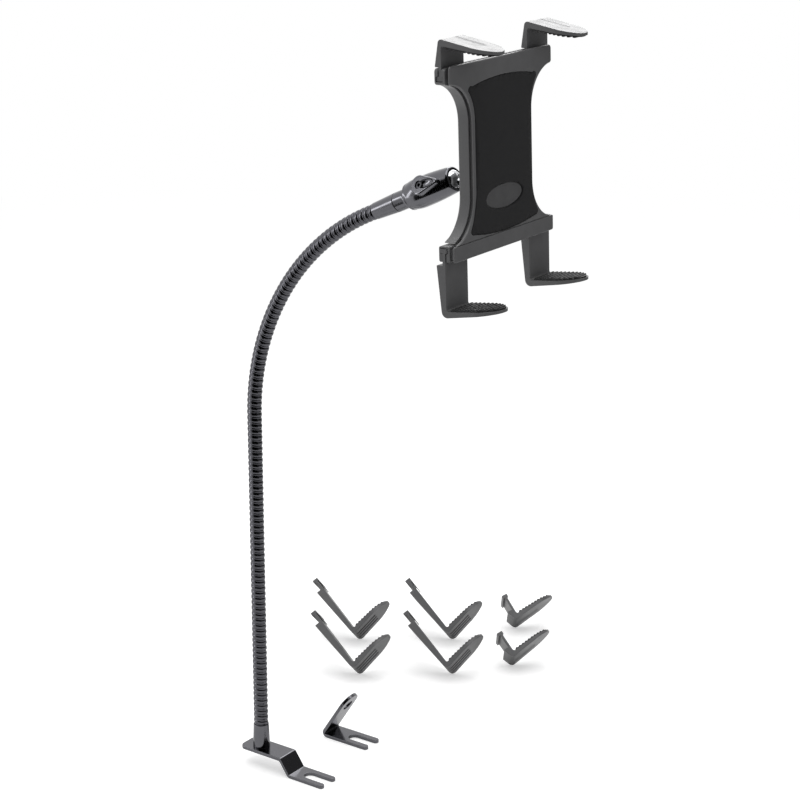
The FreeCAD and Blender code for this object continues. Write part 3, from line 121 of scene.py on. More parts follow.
@dataclass(frozen=True)
class Finish:
    """What every finish shares: a name, a colour and how much that colour varies."""

    name: str = "finish"
    colour: str = "#808080"
    second_colour: str = "#808080"
    patch_mm: float = 8.0
    metallic: float = 0.0
    rough_low: float = 0.3
    rough_high: float = 0.4
    grain_mm: float = 0.5
    grain_depth_mm: float = 0.02
    grain_strength: float = 0.3
    # Painted shade in crevices: how far the occlusion looks, its dark colour, and the occlusion at which the
    # shade is full and at which it fades out.
    crevice_shade_mm: float = 0.0
    crevice_shade_colour: str = "#0c0c0c"
    crevice_shade_full: float = 0.15
    crevice_shade_none: float = 0.55

    def material(self) -> bpy.types.Material:
        """Builds the material once.

        Returns:
            The material of this finish.
        """
        found = bpy.data.materials.get(self.name)
        if found:
            return found
        made = bpy.data.materials.new(self.name)
        made.use_nodes = True
        tree = made.node_tree
        tree.nodes.clear()
        place = node(tree, "ShaderNodeTexCoord").outputs["Object"]
        patches = node(tree, "ShaderNodeTexNoise", {
            "Vector": place, "Scale": per_metre(self.patch_mm), "Detail": 4.0})
        tint = node(tree, "ShaderNodeMix", {
            "Factor": patches.outputs["Fac"], 6: linear(self.colour), 7: linear(self.second_colour)},
            data_type="RGBA")
        rough = node(tree, "ShaderNodeMapRange", {
            "Value": patches.outputs["Fac"], "From Min": 0.3, "From Max": 0.7,
            "To Min": self.rough_low, "To Max": self.rough_high})
        # The base colour carries painted shade in narrow gaps and crevices.
        shader = node(tree, "ShaderNodeBsdfPrincipled", {
            "Base Color": self.painted_crevice_shade(tree, tint.outputs[2]), "Metallic": self.metallic,
            "Roughness": rough.outputs["Result"], "Normal": self.relief(tree, place)})
        self.extra(tree, shader, place)
        node(tree, "ShaderNodeOutputMaterial", {"Surface": shader.outputs["BSDF"]})
        return made

    def painted_crevice_shade(self, tree: bpy.types.NodeTree, colour: Socket) -> Socket:
        """Paints shade into the colour: darkens it towards near black where ambient occlusion finds surfaces
        close by, in narrow gaps and crevices.

        Args:
            tree: the material's nodes.
            colour: the surface's own colour.

        Returns:
            The colour to use.
        """
        if self.crevice_shade_mm <= 0:
            return colour
        near = node(tree, "ShaderNodeAmbientOcclusion", {"Distance": self.crevice_shade_mm * MM}, samples=6)
        shade = node(tree, "ShaderNodeMapRange", {
            "Value": near.outputs["AO"], "From Min": self.crevice_shade_full, "From Max": self.crevice_shade_none})
        return node(tree, "ShaderNodeMix", {
            "Factor": shade.outputs["Result"], 6: linear(self.crevice_shade_colour), 7: colour},
            data_type="RGBA").outputs[2]

    def relief(self, tree: bpy.types.NodeTree, place: Socket) -> Socket:
        """The fine relief of the surface.

        Args:
            tree: the material's nodes.
            place: the texture place.

        Returns:
            The bumped normal.
        """
        grain = node(tree, "ShaderNodeTexNoise", {
            "Vector": place, "Scale": per_metre(self.grain_mm), "Detail": 3.0})
        return node(tree, "ShaderNodeBump", {
            "Height": grain.outputs["Fac"], "Distance": self.grain_depth_mm * MM,
            "Strength": self.grain_strength}).outputs["Normal"]

    def extra(self, tree: bpy.types.NodeTree, shader: bpy.types.Node, place: Socket) -> None:
        """Adds what only some finishes have."""


@dataclass(frozen=True)
class BlackNickel(Finish):
    """Black nickel on polished steel: dark gloss with a slow waviness from the buffing wheel."""

    name: str = "black_nickel_on_polished_steel"
    colour: str = "#6e6e72"
    second_colour: str = "#626266"
    patch_mm: float = 14.0
    metallic: float = 1.0
    rough_low: float = 0.12
    rough_high: float = 0.18
    grain_mm: float = 9.0
    grain_depth_mm: float = 0.03
    grain_strength: float = 0.25


@dataclass(frozen=True)
class WoundNickel(BlackNickel):
    """Dark nickel on wound spring steel: as bright, but drawn, so each turn glints a little wider."""

    name: str = "dark_nickel_on_wound_steel"
    colour: str = "#626266"
    second_colour: str = "#505055"
    patch_mm: float = 5.0
    rough_low: float = 0.14
    rough_high: float = 0.24
    grain_mm: float = 1.2
    grain_depth_mm: float = 0.01


@dataclass(frozen=True)
class BallChrome(BlackNickel):
    """Hard chrome on a ground ball: a bright clean mirror."""

    name: str = "chromed_ground_steel"
    colour: str = "#d9dadc"
    second_colour: str = "#cfd0d3"
    rough_low: float = 0.04
    rough_high: float = 0.07


@dataclass(frozen=True)
class PlatePaint(Finish):
    """Black powder coat on sheet steel: satin, with fine orange peel."""

    name: str = "black_powder_coat"
    colour: str = "#1c1c1d"
    second_colour: str = "#242425"
    rough_low: float = 0.38
    rough_high: float = 0.5
    grain_mm: float = 0.9
    grain_depth_mm: float = 0.03
    grain_strength: float = 0.4


@dataclass(frozen=True)
class ZincScrew(Finish):
    """Black zinc on steel screws: dull metal with a faint cloudy passivation."""

    name: str = "black_zinc_on_steel"
    colour: str = "#58585b"
    second_colour: str = "#3f3f43"
    patch_mm: float = 1.6
    metallic: float = 1.0
    rough_low: float = 0.3
    rough_high: float = 0.45
    grain_mm: float = 0.3
    grain_depth_mm: float = 0.01


@dataclass(frozen=True)
class BlackNylon(Finish):
    """Moulded nylon bearing: waxy black with a soft sheen."""

    name: str = "moulded_black_nylon"
    colour: str = "#1d1d1e"
    second_colour: str = "#262627"
    rough_low: float = 0.35
    rough_high: float = 0.45


@dataclass(frozen=True)
class GreyAbs(Finish):
    """ABS from a spark-eroded tool: mid grey, a fine even grain and a semi-gloss seen edge-on.

    The real grain is near 0.1 mm and is drawn at 0.45 mm, so that it shows.
    """

    name: str = "grey_abs_spark_eroded_grain"
    colour: str = "#5b5b5c"
    second_colour: str = "#515152"
    patch_mm: float = 11.0
    rough_low: float = 0.3
    rough_high: float = 0.38
    grain_mm: float = 0.45
    grain_depth_mm: float = 0.01
    grain_strength: float = 0.35
    # Painted shade: the grey darkens where other surfaces lie within 3.5 mm, in the gaps between parts.
    crevice_shade_mm: float = 3.5


@dataclass(frozen=True)
class GripRubber(Finish):
    """Thermoplastic rubber moulded over the hook: near black and matt."""

    name: str = "black_moulded_rubber"
    colour: str = "#202021"
    second_colour: str = "#2a2a2b"
    patch_mm: float = 4.0
    rough_low: float = 0.55
    rough_high: float = 0.7
    grain_mm: float = 0.4
    grain_depth_mm: float = 0.02


@dataclass(frozen=True)
class BadgeSatin(Finish):
    """Satin ABS inlay, bare: a touch lighter than the felt round it."""

    name: str = "satin_abs_inlay"
    colour: str = "#4d4d4e"
    second_colour: str = "#444445"
    rough_low: float = 0.4
    rough_high: float = 0.5
    grain_mm: float = 0.3
    grain_depth_mm: float = 0.01


@dataclass(frozen=True)
class NappedFelt(Finish):
    """Wool-blend felt, pressed: black with a short nap, seen as soft mottling and a pale bloom edge-on.

    The fibres are near 0.02 mm and are drawn at 0.35 mm, so that they show.
    """

    name: str = "black_pressed_felt"
    colour: str = "#161617"
    second_colour: str = "#252526"
    patch_mm: float = 2.6
    rough_low: float = 0.9
    rough_high: float = 1.0
    grain_mm: float = 0.35
    grain_depth_mm: float = 0.12
    grain_strength: float = 0.7

    def extra(self, tree: bpy.types.NodeTree, shader: bpy.types.Node, place: Socket) -> None:
        """Gives the nap its bloom and takes the hard gloss away."""
        shader.inputs["Sheen Weight"].default_value = 0.25
        shader.inputs["Sheen Roughness"].default_value = 0.5
        shader.inputs["Sheen Tint"].default_value = linear("#8c8c8c")
        shader.inputs["Specular IOR Level"].default_value = 0.15


class Slot(Enum):
    """The record's material slots."""

    BLACK_NICKEL = "black_nickel"
    NECK_NICKEL = "neck_nickel"
    CHROME = "bright_chrome"
    PAINT = "black_paint"
    SCREW = "screw_steel"
    NYLON = "nylon"
    PLASTIC = "grey_plastic"
    RUBBER = "grip_rubber"
    FELT = "felt"
    BADGE = "badge_plastic"


FINISHES: dict[Slot, Finish] = {
    Slot.BLACK_NICKEL: BlackNickel(),
    Slot.NECK_NICKEL: WoundNickel(),
    Slot.CHROME: BallChrome(),
    Slot.PAINT: PlatePaint(),
    Slot.SCREW: ZincScrew(),
    Slot.NYLON: BlackNylon(),
    Slot.PLASTIC: GreyAbs(),
    Slot.RUBBER: GripRubber(),
    Slot.FELT: NappedFelt(),
    Slot.BADGE: BadgeSatin(),
}


# Outlines

def swung(centre: Vector, arm: Vector, angle: float) -> Pair:
    """The end of an arm that is swung round a centre."""
    c, s = cos(angle), sin(angle)
    return centre.x + arm.x * c - arm.y * s, centre.y + arm.x * s + arm.y * c


def filleted(corners: Sequence[Corner], steps: int = 5) -> list[Pair]:
    """Rounds the corners of a closed outline.

    Args:
        corners: (x, y) or (x, y, radius) for each corner.
        steps: how many runs make up one rounding.

    Returns:
        The outline's points.
    """
    outline: list[Pair] = []
    count = len(corners)
    for i, corner in enumerate(corners):
        here = Vector(corner[:2])
        radius = corner[2] if len(corner) > 2 else 0.0
        back = (Vector(corners[i - 1][:2]) - here).normalized()
        on = (Vector(corners[(i + 1) % count][:2]) - here).normalized()
        if radius <= 0 or back.dot(on) < -0.9999:
            outline.append(tuple(here))
            continue
        half = back.angle(on) / 2
        centre = here + (back + on).normalized() * (radius / sin(half))
        first = here + back * (radius / tan(half)) - centre
        last = here + on * (radius / tan(half)) - centre
        turn = atan2(first.x * last.y - first.y * last.x, first.dot(last))
        outline += [swung(centre, first, turn * step / steps) for step in range(steps + 1)]
    return outline


def traced(points: Sequence[Sequence], step_deg: float = 4.0) -> list[Pair]:
    """Follows a closed outline of lines and arcs.

    Args:
        points: (x, y), or (x, y, radius, side) where an arc with its centre on that side leaves the point.
        step_deg: the turn of one run along an arc.

    Returns:
        The outline's points.
    """
    outline: list[Pair] = []
    for i, point in enumerate(points):
        start = Vector(point[:2])
        outline.append(tuple(start))
        if len(point) < 4:
            continue
        stop = Vector(points[(i + 1) % len(points)][:2])
        radius, sign = point[2], 1 if point[3] == "left" else -1
        chord = stop - start
        height = sqrt(max(radius ** 2 - (chord.length / 2) ** 2, 0))
        centre = (start + stop) / 2 + Vector((-chord.y, chord.x)).normalized() * height * sign
        first, last = start - centre, stop - centre
        turn = atan2(first.x * last.y - first.y * last.x, first.dot(last))
        runs = max(2, round(abs(turn) / radians(step_deg)))
        outline += [swung(centre, first, turn * run / runs) for run in range(1, runs)]
    return outline


def drawn_in(outline: Sequence[Pair], inset: float) -> list[Pair]:
    """Draws a counter-clockwise outline inwards.

    Args:
        outline: the points.
        inset: how far.

    Returns:
        As many points.
    """
    spots = np.array(outline, float)
    run_in = spots - np.roll(spots, 1, axis=0)
    run_out = np.roll(spots, -1, axis=0) - spots
    normals = []
    for run in (run_in, run_out):
        run = run / np.linalg.norm(run, axis=1)[:, None]
        normals.append(np.stack([-run[:, 1], run[:, 0]], axis=1))
    across = 1 + np.sum(normals[0] * normals[1], axis=1)
    moved = spots + (normals[0] + normals[1]) * (inset / np.maximum(across, 0.2))[:, None]
    return [tuple(spot) for spot in moved]


def oval(half_wide: float, half_high: float, steps: int = 64) -> list[Pair]:
    """An ellipse round the origin."""
    return [(half_wide * cos(2 * pi * i / steps), half_high * sin(2 * pi * i / steps)) for i in range(steps)]


def edge_layers(deep: float, back_round: float, front_round: float, steps: int = 4) -> list[Pair]:
    """The insets and heights that round a slab's two edges.

    Args:
        deep: the slab's thickness.
        back_round: the radius at height 0.
        front_round: the radius at the far face.
        steps: how many runs make up one rounding.

    Returns:
        (inset, height) for each layer.
    """
    layers = []
    for step in range(steps + 1):
        angle = pi / 2 * step / steps
        layers.append((back_round * (1 - sin(angle)), back_round * (1 - cos(angle))))
    for step in range(steps + 1):
        angle = pi / 2 * step / steps
        layers.append((front_round * (1 - cos(angle)), deep - front_round * (1 - sin(angle))))
    return layers


# Forms

class Form:
    """A mesh in the making, in millimetres, before it is set down as a piece."""

    def __init__(self, points: Sequence[Sequence[float]], faces: Sequence[Sequence[int]]) -> None:
        """Makes the mesh and turns its faces outwards."""
        mesh = bpy.data.meshes.new("form")
        mesh.from_pydata([tuple(point) for point in points], [], [tuple(face) for face in faces])
        self.body = bpy.data.objects.new("form", mesh)
        bpy.context.scene.collection.objects.link(self.body)
        self._tidied()

    def _tidied(self) -> None:
        """Merges doubled points and turns the faces outwards."""
        work = bmesh.new()
        work.from_mesh(self.body.data)
        bmesh.ops.remove_doubles(work, verts=work.verts, dist=1e-4)
        bmesh.ops.recalc_face_normals(work, faces=work.faces)
        work.to_mesh(self.body.data)
        work.free()

    @classmethod
    def stacked(cls, loops: Sequence[Sequence[Sequence[float]]]) -> "Form":
        """A closed form through loops, capped at both ends.

        Args:
            loops: the loops in order, of as many points each.

        Returns:
            The form.
        """
        count = len(loops[0])
        points = [point for loop in loops for point in loop]
        faces = [tuple(reversed(range(count))), tuple(range(len(points) - count, len(points)))]
        for layer in range(len(loops) - 1):
            low = layer * count
            for i in range(count):
                j = (i + 1) % count
                faces.append((low + i, low + j, low + count + j, low + count + i))
        return cls(points, faces)

    @classmethod
    def slab(cls, outline: Sequence[Pair], layers: Sequence[Pair]) -> "Form":
        """A plate along Z from an outline in X and Y, drawn in layer by layer."""
        return cls.stacked([[(x, y, height) for x, y in drawn_in(outline, inset)]
                            for inset, height in layers])

    @classmethod
    def prism(cls, outline: Sequence[Pair], low: float, high: float) -> "Form":
        """A straight prism along Z."""
        return cls.slab(outline, [(0, low), (0, high)])

    @classmethod
    def side_prism(cls, outline: Sequence[Pair], low: float, high: float) -> "Form":
        """A prism along Y from an outline in X and Z."""
        return cls.stacked([[(x, y, z) for x, z in outline] for y in (low, high)])

    @classmethod
    def turned(cls, profile: Sequence[Pair], steps: int = 96) -> "Form":
        """A form turned about Z.

        Args:
            profile: (radius, height) for each corner of a closed half section.
            steps: how many runs make up the turn.

        Returns:
            The form.
        """
        points: list[Sequence[float]] = []
        rings: list[list[int]] = []
        for radius, height in profile:
            if radius < 1e-6:
                rings.append([len(points)] * steps)
                points.append((0.0, 0.0, height))
                continue
            rings.append(list(range(len(points), len(points) + steps)))
            points += [(radius * cos(2 * pi * i / steps), radius * sin(2 * pi * i / steps), height)
                       for i in range(steps)]
        faces = []
        for low, high in zip(rings, rings[1:] + rings[:1]):
            for i in range(steps):
                j = (i + 1) % steps
                corners = list(dict.fromkeys((low[i], low[j], high[j], high[i])))
                if len(corners) > 2:
                    faces.append(corners)
        return cls(points, faces)

    def moved(self, place: Matrix) -> "Form":
        """Moves the form in its own frame."""
        self.body.data.transform(place)
        return self

    def _apply(self) -> "Form":
        """Makes the modifiers' result the mesh."""
        graph = bpy.context.evaluated_depsgraph_get()
        mesh = bpy.data.meshes.new_from_object(self.body.evaluated_get(graph))
        self.body.modifiers.clear()
        self.body.data = mesh
        return self

    def _combined(self, other: "Form", operation: str) -> "Form":
        """Combines the form with another, which is used up.

        Args:
            other: the other form.
            operation: the boolean's name.

        Returns:
            The form.
        """
        change = self.body.modifiers.new("combine", "BOOLEAN")
        change.operation = operation
        change.solver = "EXACT"
        change.object = other.body
        self._apply()
        bpy.data.objects.remove(other.body)
        return self

    def plus(self, other: "Form") -> "Form":
        """Adds another form."""
        return self._combined(other, "UNION")

    def less(self, other: "Form") -> "Form":
        """Takes another form away."""
        return self._combined(other, "DIFFERENCE")

    def meet(self, other: "Form") -> "Form":
        """Keeps what is in both forms."""
        return self._combined(other, "INTERSECT")

    def softened(self, width: float, steps: int = 3, angle_deg: float = SHARP_DEG) -> "Form":
        """Rounds the sharp edges.

        Args:
            width: the rounding's width.
            steps: how many runs make it up.
            angle_deg: the turn over an edge from which it counts as sharp.

        Returns:
            The form.
        """
        change = self.body.modifiers.new("soften", "BEVEL")
        change.width = width
        change.segments = steps
        change.limit_method = "ANGLE"
        change.angle_limit = radians(angle_deg)
        return self._apply()

    def settle(self, name: str, place: Matrix, slot: Slot, body: str, *nodes: str) -> bpy.types.Object:
        """Sets the form down in the frame as a finished piece.

        Args:
            name: the piece's name.
            place: from the form's frame to the holder's or the floor's, in millimetres.
            slot: its finish.
            body: the body that it rides on.
            nodes: the CAD nodes that it stands for.

        Returns:
            The piece.
        """
        self._tidied()
        piece = self.body
        piece.name = piece.data.name = name
        piece.data.transform(Matrix.Scale(MM, 4) @ place)
        piece.data.shade_smooth()
        piece.data.set_sharp_from_angle(angle=radians(SHARP_DEG))
        weigh = piece.modifiers.new("flat_faces", "WEIGHTED_NORMAL")
        weigh.keep_sharp = True
        piece.data.materials.clear()
        piece.data.materials.append(FINISHES[slot].material())
        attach(piece, body)
        if nodes:
            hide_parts(*nodes)
        log.info("%s: %d faces", name, len(piece.data.polygons))
        return piece


def frame_of(x_way: Vector, z_way: Vector, spot: Vector) -> Matrix:
    """The place whose X and Z axes point two ways from a spot.

    Args:
        x_way: the X axis.
        z_way: the Z axis, square to it.
        spot: the origin.

    Returns:
        The place.
    """
    y_way = z_way.cross(x_way)
    turn = Matrix((x_way, y_way, z_way)).transposed().to_4x4()
    return Matrix.Translation(spot) @ turn


def shifted(x: float = 0.0, y: float = 0.0, z: float = 0.0) -> Matrix:
    """A plain shift."""
    return Matrix.Translation((x, y, z))


X_WAY, Y_WAY, Z_WAY = Vector((1, 0, 0)), Vector((0, 1, 0)), Vector((0, 0, 1))


@dataclass(frozen=True)
class NeckLine:
    """The gooseneck's centre line: straight up, two arcs that lean forward, a short straight end."""

    back: float = 57.5
    foot: float = 40.5
    straight: float = 304.5
    low_radius: float = 216.2
    low_turn: float = radians(18.0)
    high_radius: float = 224.9
    high_turn: float = radians(47.0)
    end: float = 7.0
    head_back: float = 82.0

    @property
    def length(self) -> float:
        """The whole length."""
        return self.straight + self.low_radius * self.low_turn + self.high_radius * self.high_turn + self.end

    def at(self, way: float) -> tuple[Vector, Vector]:
        """Follows the line.

        Args:
            way: the distance from the lower end.

        Returns:
            The point and the direction there.
        """
        point, lean = Vector((-self.back, 0, self.foot)), 0.0
        runs = ((self.straight, 0.0), (self.low_radius * self.low_turn, self.low_radius),
                (self.high_radius * self.high_turn, self.high_radius), (self.end, 0.0))
        for i, (length, radius) in enumerate(runs):
            step = way if i == len(runs) - 1 else min(way, length)
            if radius:
                turn = step / radius
                point += Vector((cos(lean) - cos(lean + turn), 0, sin(lean + turn) - sin(lean))) * radius
                lean += turn
            else:
                point += Vector((sin(lean), 0, cos(lean))) * step
            way -= step
            if way <= 0:
                break
        return point, Vector((sin(lean), 0, cos(lean)))

    @property
    def ball(self) -> Vector:
        """The centre of the head's ball."""
        point, forward = self.at(self.length)
        return point + forward * self.head_back


NECK_LINE = NeckLine()
BALL = NECK_LINE.ball
HEAD_WAY = NECK_LINE.at(NECK_LINE.length)[1]
HEAD_UP = Vector((-HEAD_WAY.z, 0, HEAD_WAY.x))
HEAD = frame_of(-HEAD_UP, HEAD_WAY, BALL)
# The holder's top leans back a little on its ball
HOLDER_TILT_DEG = 2.2
HOLDER = Matrix.Translation(BALL) @ Matrix.Rotation(radians(-HOLDER_TILT_DEG), 4, "Y")
STUD = HOLDER @ frame_of(-Z_WAY, X_WAY, Vector())
# A slab's own X, Y and Z run across, up and forward on the holder
FACE = HOLDER @ frame_of(Y_WAY, X_WAY, Vector())


# Sub-assemblies

@dataclass(frozen=True)
class Foot:
    """The folded fork bracket, its cap screw and the lower ferrule."""

    width: float = 23.0
    thick: float = 3.2
    fork_radius: float = 5.5
    reach: float = 22.0
    tine_round: float = 2.7
    fold_low: float = 16.0
    fold_high: float = 26.0
    rise: float = 14.3
    end: float = 75.0
    corner: float = 6.0
    edge_round: float = 0.45
    ferrule_high: float = 23.0
    ferrule_base: float = 8.1
    ferrule_top: float = 7.2
    ferrule_bore: float = 5.25

    def fork_plan(self, back: float, corner: float) -> list[Pair]:
        """The strip's outline from above, with the open fork.

        Args:
            back: how far it runs behind the fork's centre.
            corner: the radius of its rear corners.

        Returns:
            The outline.
        """
        half = self.width / 2
        tine = self.tine_round
        slot = [(self.fork_radius * cos(radians(a)), self.fork_radius * sin(radians(a)))
                for a in range(90, 271, 9)]
        return filleted([
            (-back, -half, corner), (self.reach, -half, tine), (self.reach, -self.fork_radius, tine),
            *reversed(slot),
            (self.reach, self.fork_radius, tine), (self.reach, half, tine), (-back, half, corner),
        ])

    def bracket(self) -> None:
        """The folded strip. Its upper face is folded crisply and its lower one is round."""
        back = self.thick * tan(atan2(self.rise, self.fold_high - self.fold_low) / 2)
        side = filleted([
            (self.reach, 0), (self.reach, self.thick), (-self.fold_low, self.thick, 1.2),
            (-self.fold_high, self.rise + self.thick, 2.4), (-self.end, self.rise + self.thick),
            (-self.end, self.rise), (-self.fold_high - back, self.rise, 3.0),
            (-self.fold_low - back, 0, 5.5),
        ], steps=6)
        form = Form.side_prism(side, -self.width / 2 - 1, self.width / 2 + 1)
        form.meet(Form.prism(self.fork_plan(self.end, self.corner), -5, 30))
        form.softened(self.edge_round, 3, 40).settle(
            "rail_bracket_folded", Matrix.Identity(4), Slot.BLACK_NICKEL, "foot", "rail_bracket")

    def ferrule(self) -> None:
        """The conical sleeve, with an eased rim round the neck."""
        profile = filleted([
            (3.1, 0), (self.ferrule_base, 0, 0.35), (self.ferrule_top, self.ferrule_high, 0.4),
            (self.ferrule_bore, self.ferrule_high, 0.1), (self.ferrule_bore, self.ferrule_high - 8),
            (3.1, 12),
        ], steps=4)
        place = shifted(-NECK_LINE.back, 0, self.rise + self.thick)
        Form.turned(profile).settle(
            "lower_ferrule_polished", place, Slot.BLACK_NICKEL, "foot", "lower_ferrule")

    def screw(self) -> None:
        """The low cap screw under the strip, with its hexagon socket."""
        form = Form.turned(filleted([(0, -3), (5.5, -3, 0.8), (5.5, 0, 0.1), (3, 0), (3, 13), (0, 13)]), 64)
        form.less(Form.prism(oval(2.3, 2.3, 6), -4, -1.2))
        place = shifted(-NECK_LINE.back, 0, self.rise)
        form.settle("foot_cap_screw", place, Slot.SCREW, "foot", "foot_screw")

    def build(self) -> None:
        """Makes the foot's pieces."""
        self.bracket()
        self.ferrule()
        self.screw()


@dataclass(frozen=True)
class Gooseneck:
    """The wound neck: a wide rounded band and a fine wire side by side, in one piece round each joint."""

    parts: int = 13
    ribs_each: int = 8
    crest: float = 6.75
    valley: float = 5.85
    wire: float = 6.3
    band_share: float = 0.68
    bore: float = 5.0
    rings_per_rib: int = 18
    columns: int = 48
    bend_reach: float = 15.0
    lining_runs: int = 8

    def radius(self, share: np.ndarray) -> np.ndarray:
        """The winding's radius along one pitch.

        Args:
            share: places along the pitch, from 0 to 1.

        Returns:
            The radius at each place.
        """
        band = 2 * share / self.band_share - 1
        fine = 2 * (share - self.band_share) / (1 - self.band_share) - 1
        wide = self.valley + (self.crest - self.valley) * np.sqrt(np.clip(1 - np.abs(band) ** 3, 0, 1))
        thin = self.valley + (self.wire - self.valley) * np.sqrt(np.clip(1 - fine ** 2, 0, 1))
        return np.where(share < self.band_share, wide, thin)

    def ring(self, way: float, angles: np.ndarray, radii: np.ndarray) -> list[Vector]:
        """One ring of points round the neck's line.

        Args:
            way: the distance along the neck.
            angles: the points' angles.
            radii: the radius at each angle.

        Returns:
            The ring.
        """
        point, forward = NECK_LINE.at(way)
        side = Vector((forward.z, 0, -forward.x))
        return [point + (side * cos(a) + Y_WAY * sin(a)) * r for a, r in zip(angles, radii)]

    def stretch(self, start: float, stop: float) -> Form:
        """The winding between two distances along the neck.

        Args:
            start: where it begins.
            stop: where it ends.

        Returns:
            A closed tube with the winding outside.
        """
        pitch = NECK_LINE.length / self.parts / self.ribs_each
        runs = round((stop - start) / pitch * self.rings_per_rib)
        angles = np.arange(self.columns) * 2 * pi / self.columns
        loops = []
        for i in range(runs + 1):
            way = start + (stop - start) * i / runs
            loops.append(self.ring(way, angles, self.radius((way / pitch + angles / (2 * pi)) % 1.0)))
        bores = np.full(self.columns, self.bore)
        for i in range(self.lining_runs, -1, -1):
            loops.append(self.ring(start + (stop - start) * i / self.lining_runs, angles, bores))
        count = self.columns
        faces = []
        for layer in range(len(loops)):
            low, high = layer * count, (layer + 1) % len(loops) * count
            for i in range(count):
                j = (i + 1) % count
                faces.append((low + i, low + j, high + j, high + i))
        return Form([spot for loop in loops for spot in loop], faces)

    def build(self) -> None:
        """Makes one piece for each joint, from the middle of one segment to the middle of the next."""
        length = NECK_LINE.length / self.parts
        for joint in range(1, self.parts):
            start = 0.0 if joint == 1 else (joint - 0.5) * length
            stop = NECK_LINE.length if joint == self.parts - 1 else (joint + 0.5) * length
            form = self.stretch(start, stop)
            piece = form.body
            piece.name = piece.data.name = f"neck_winding_{joint:02d}"
            piece.data.transform(Matrix.Scale(MM, 4))
            piece.data.shade_smooth()
            piece.data.materials.append(FINISHES[Slot.NECK_NICKEL].material())
            before = NECK_LINE.at(joint * length - self.bend_reach)[0] * MM
            after = NECK_LINE.at(joint * length + self.bend_reach)[0] * MM
            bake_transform(piece)
            nodes = [f"neck_segment_{joint:02d}"]
            if joint == self.parts - 1:
                nodes.append(f"neck_segment_{self.parts:02d}")
            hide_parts(*nodes)
            log.info("%s: %d faces", piece.name, len(piece.data.polygons))


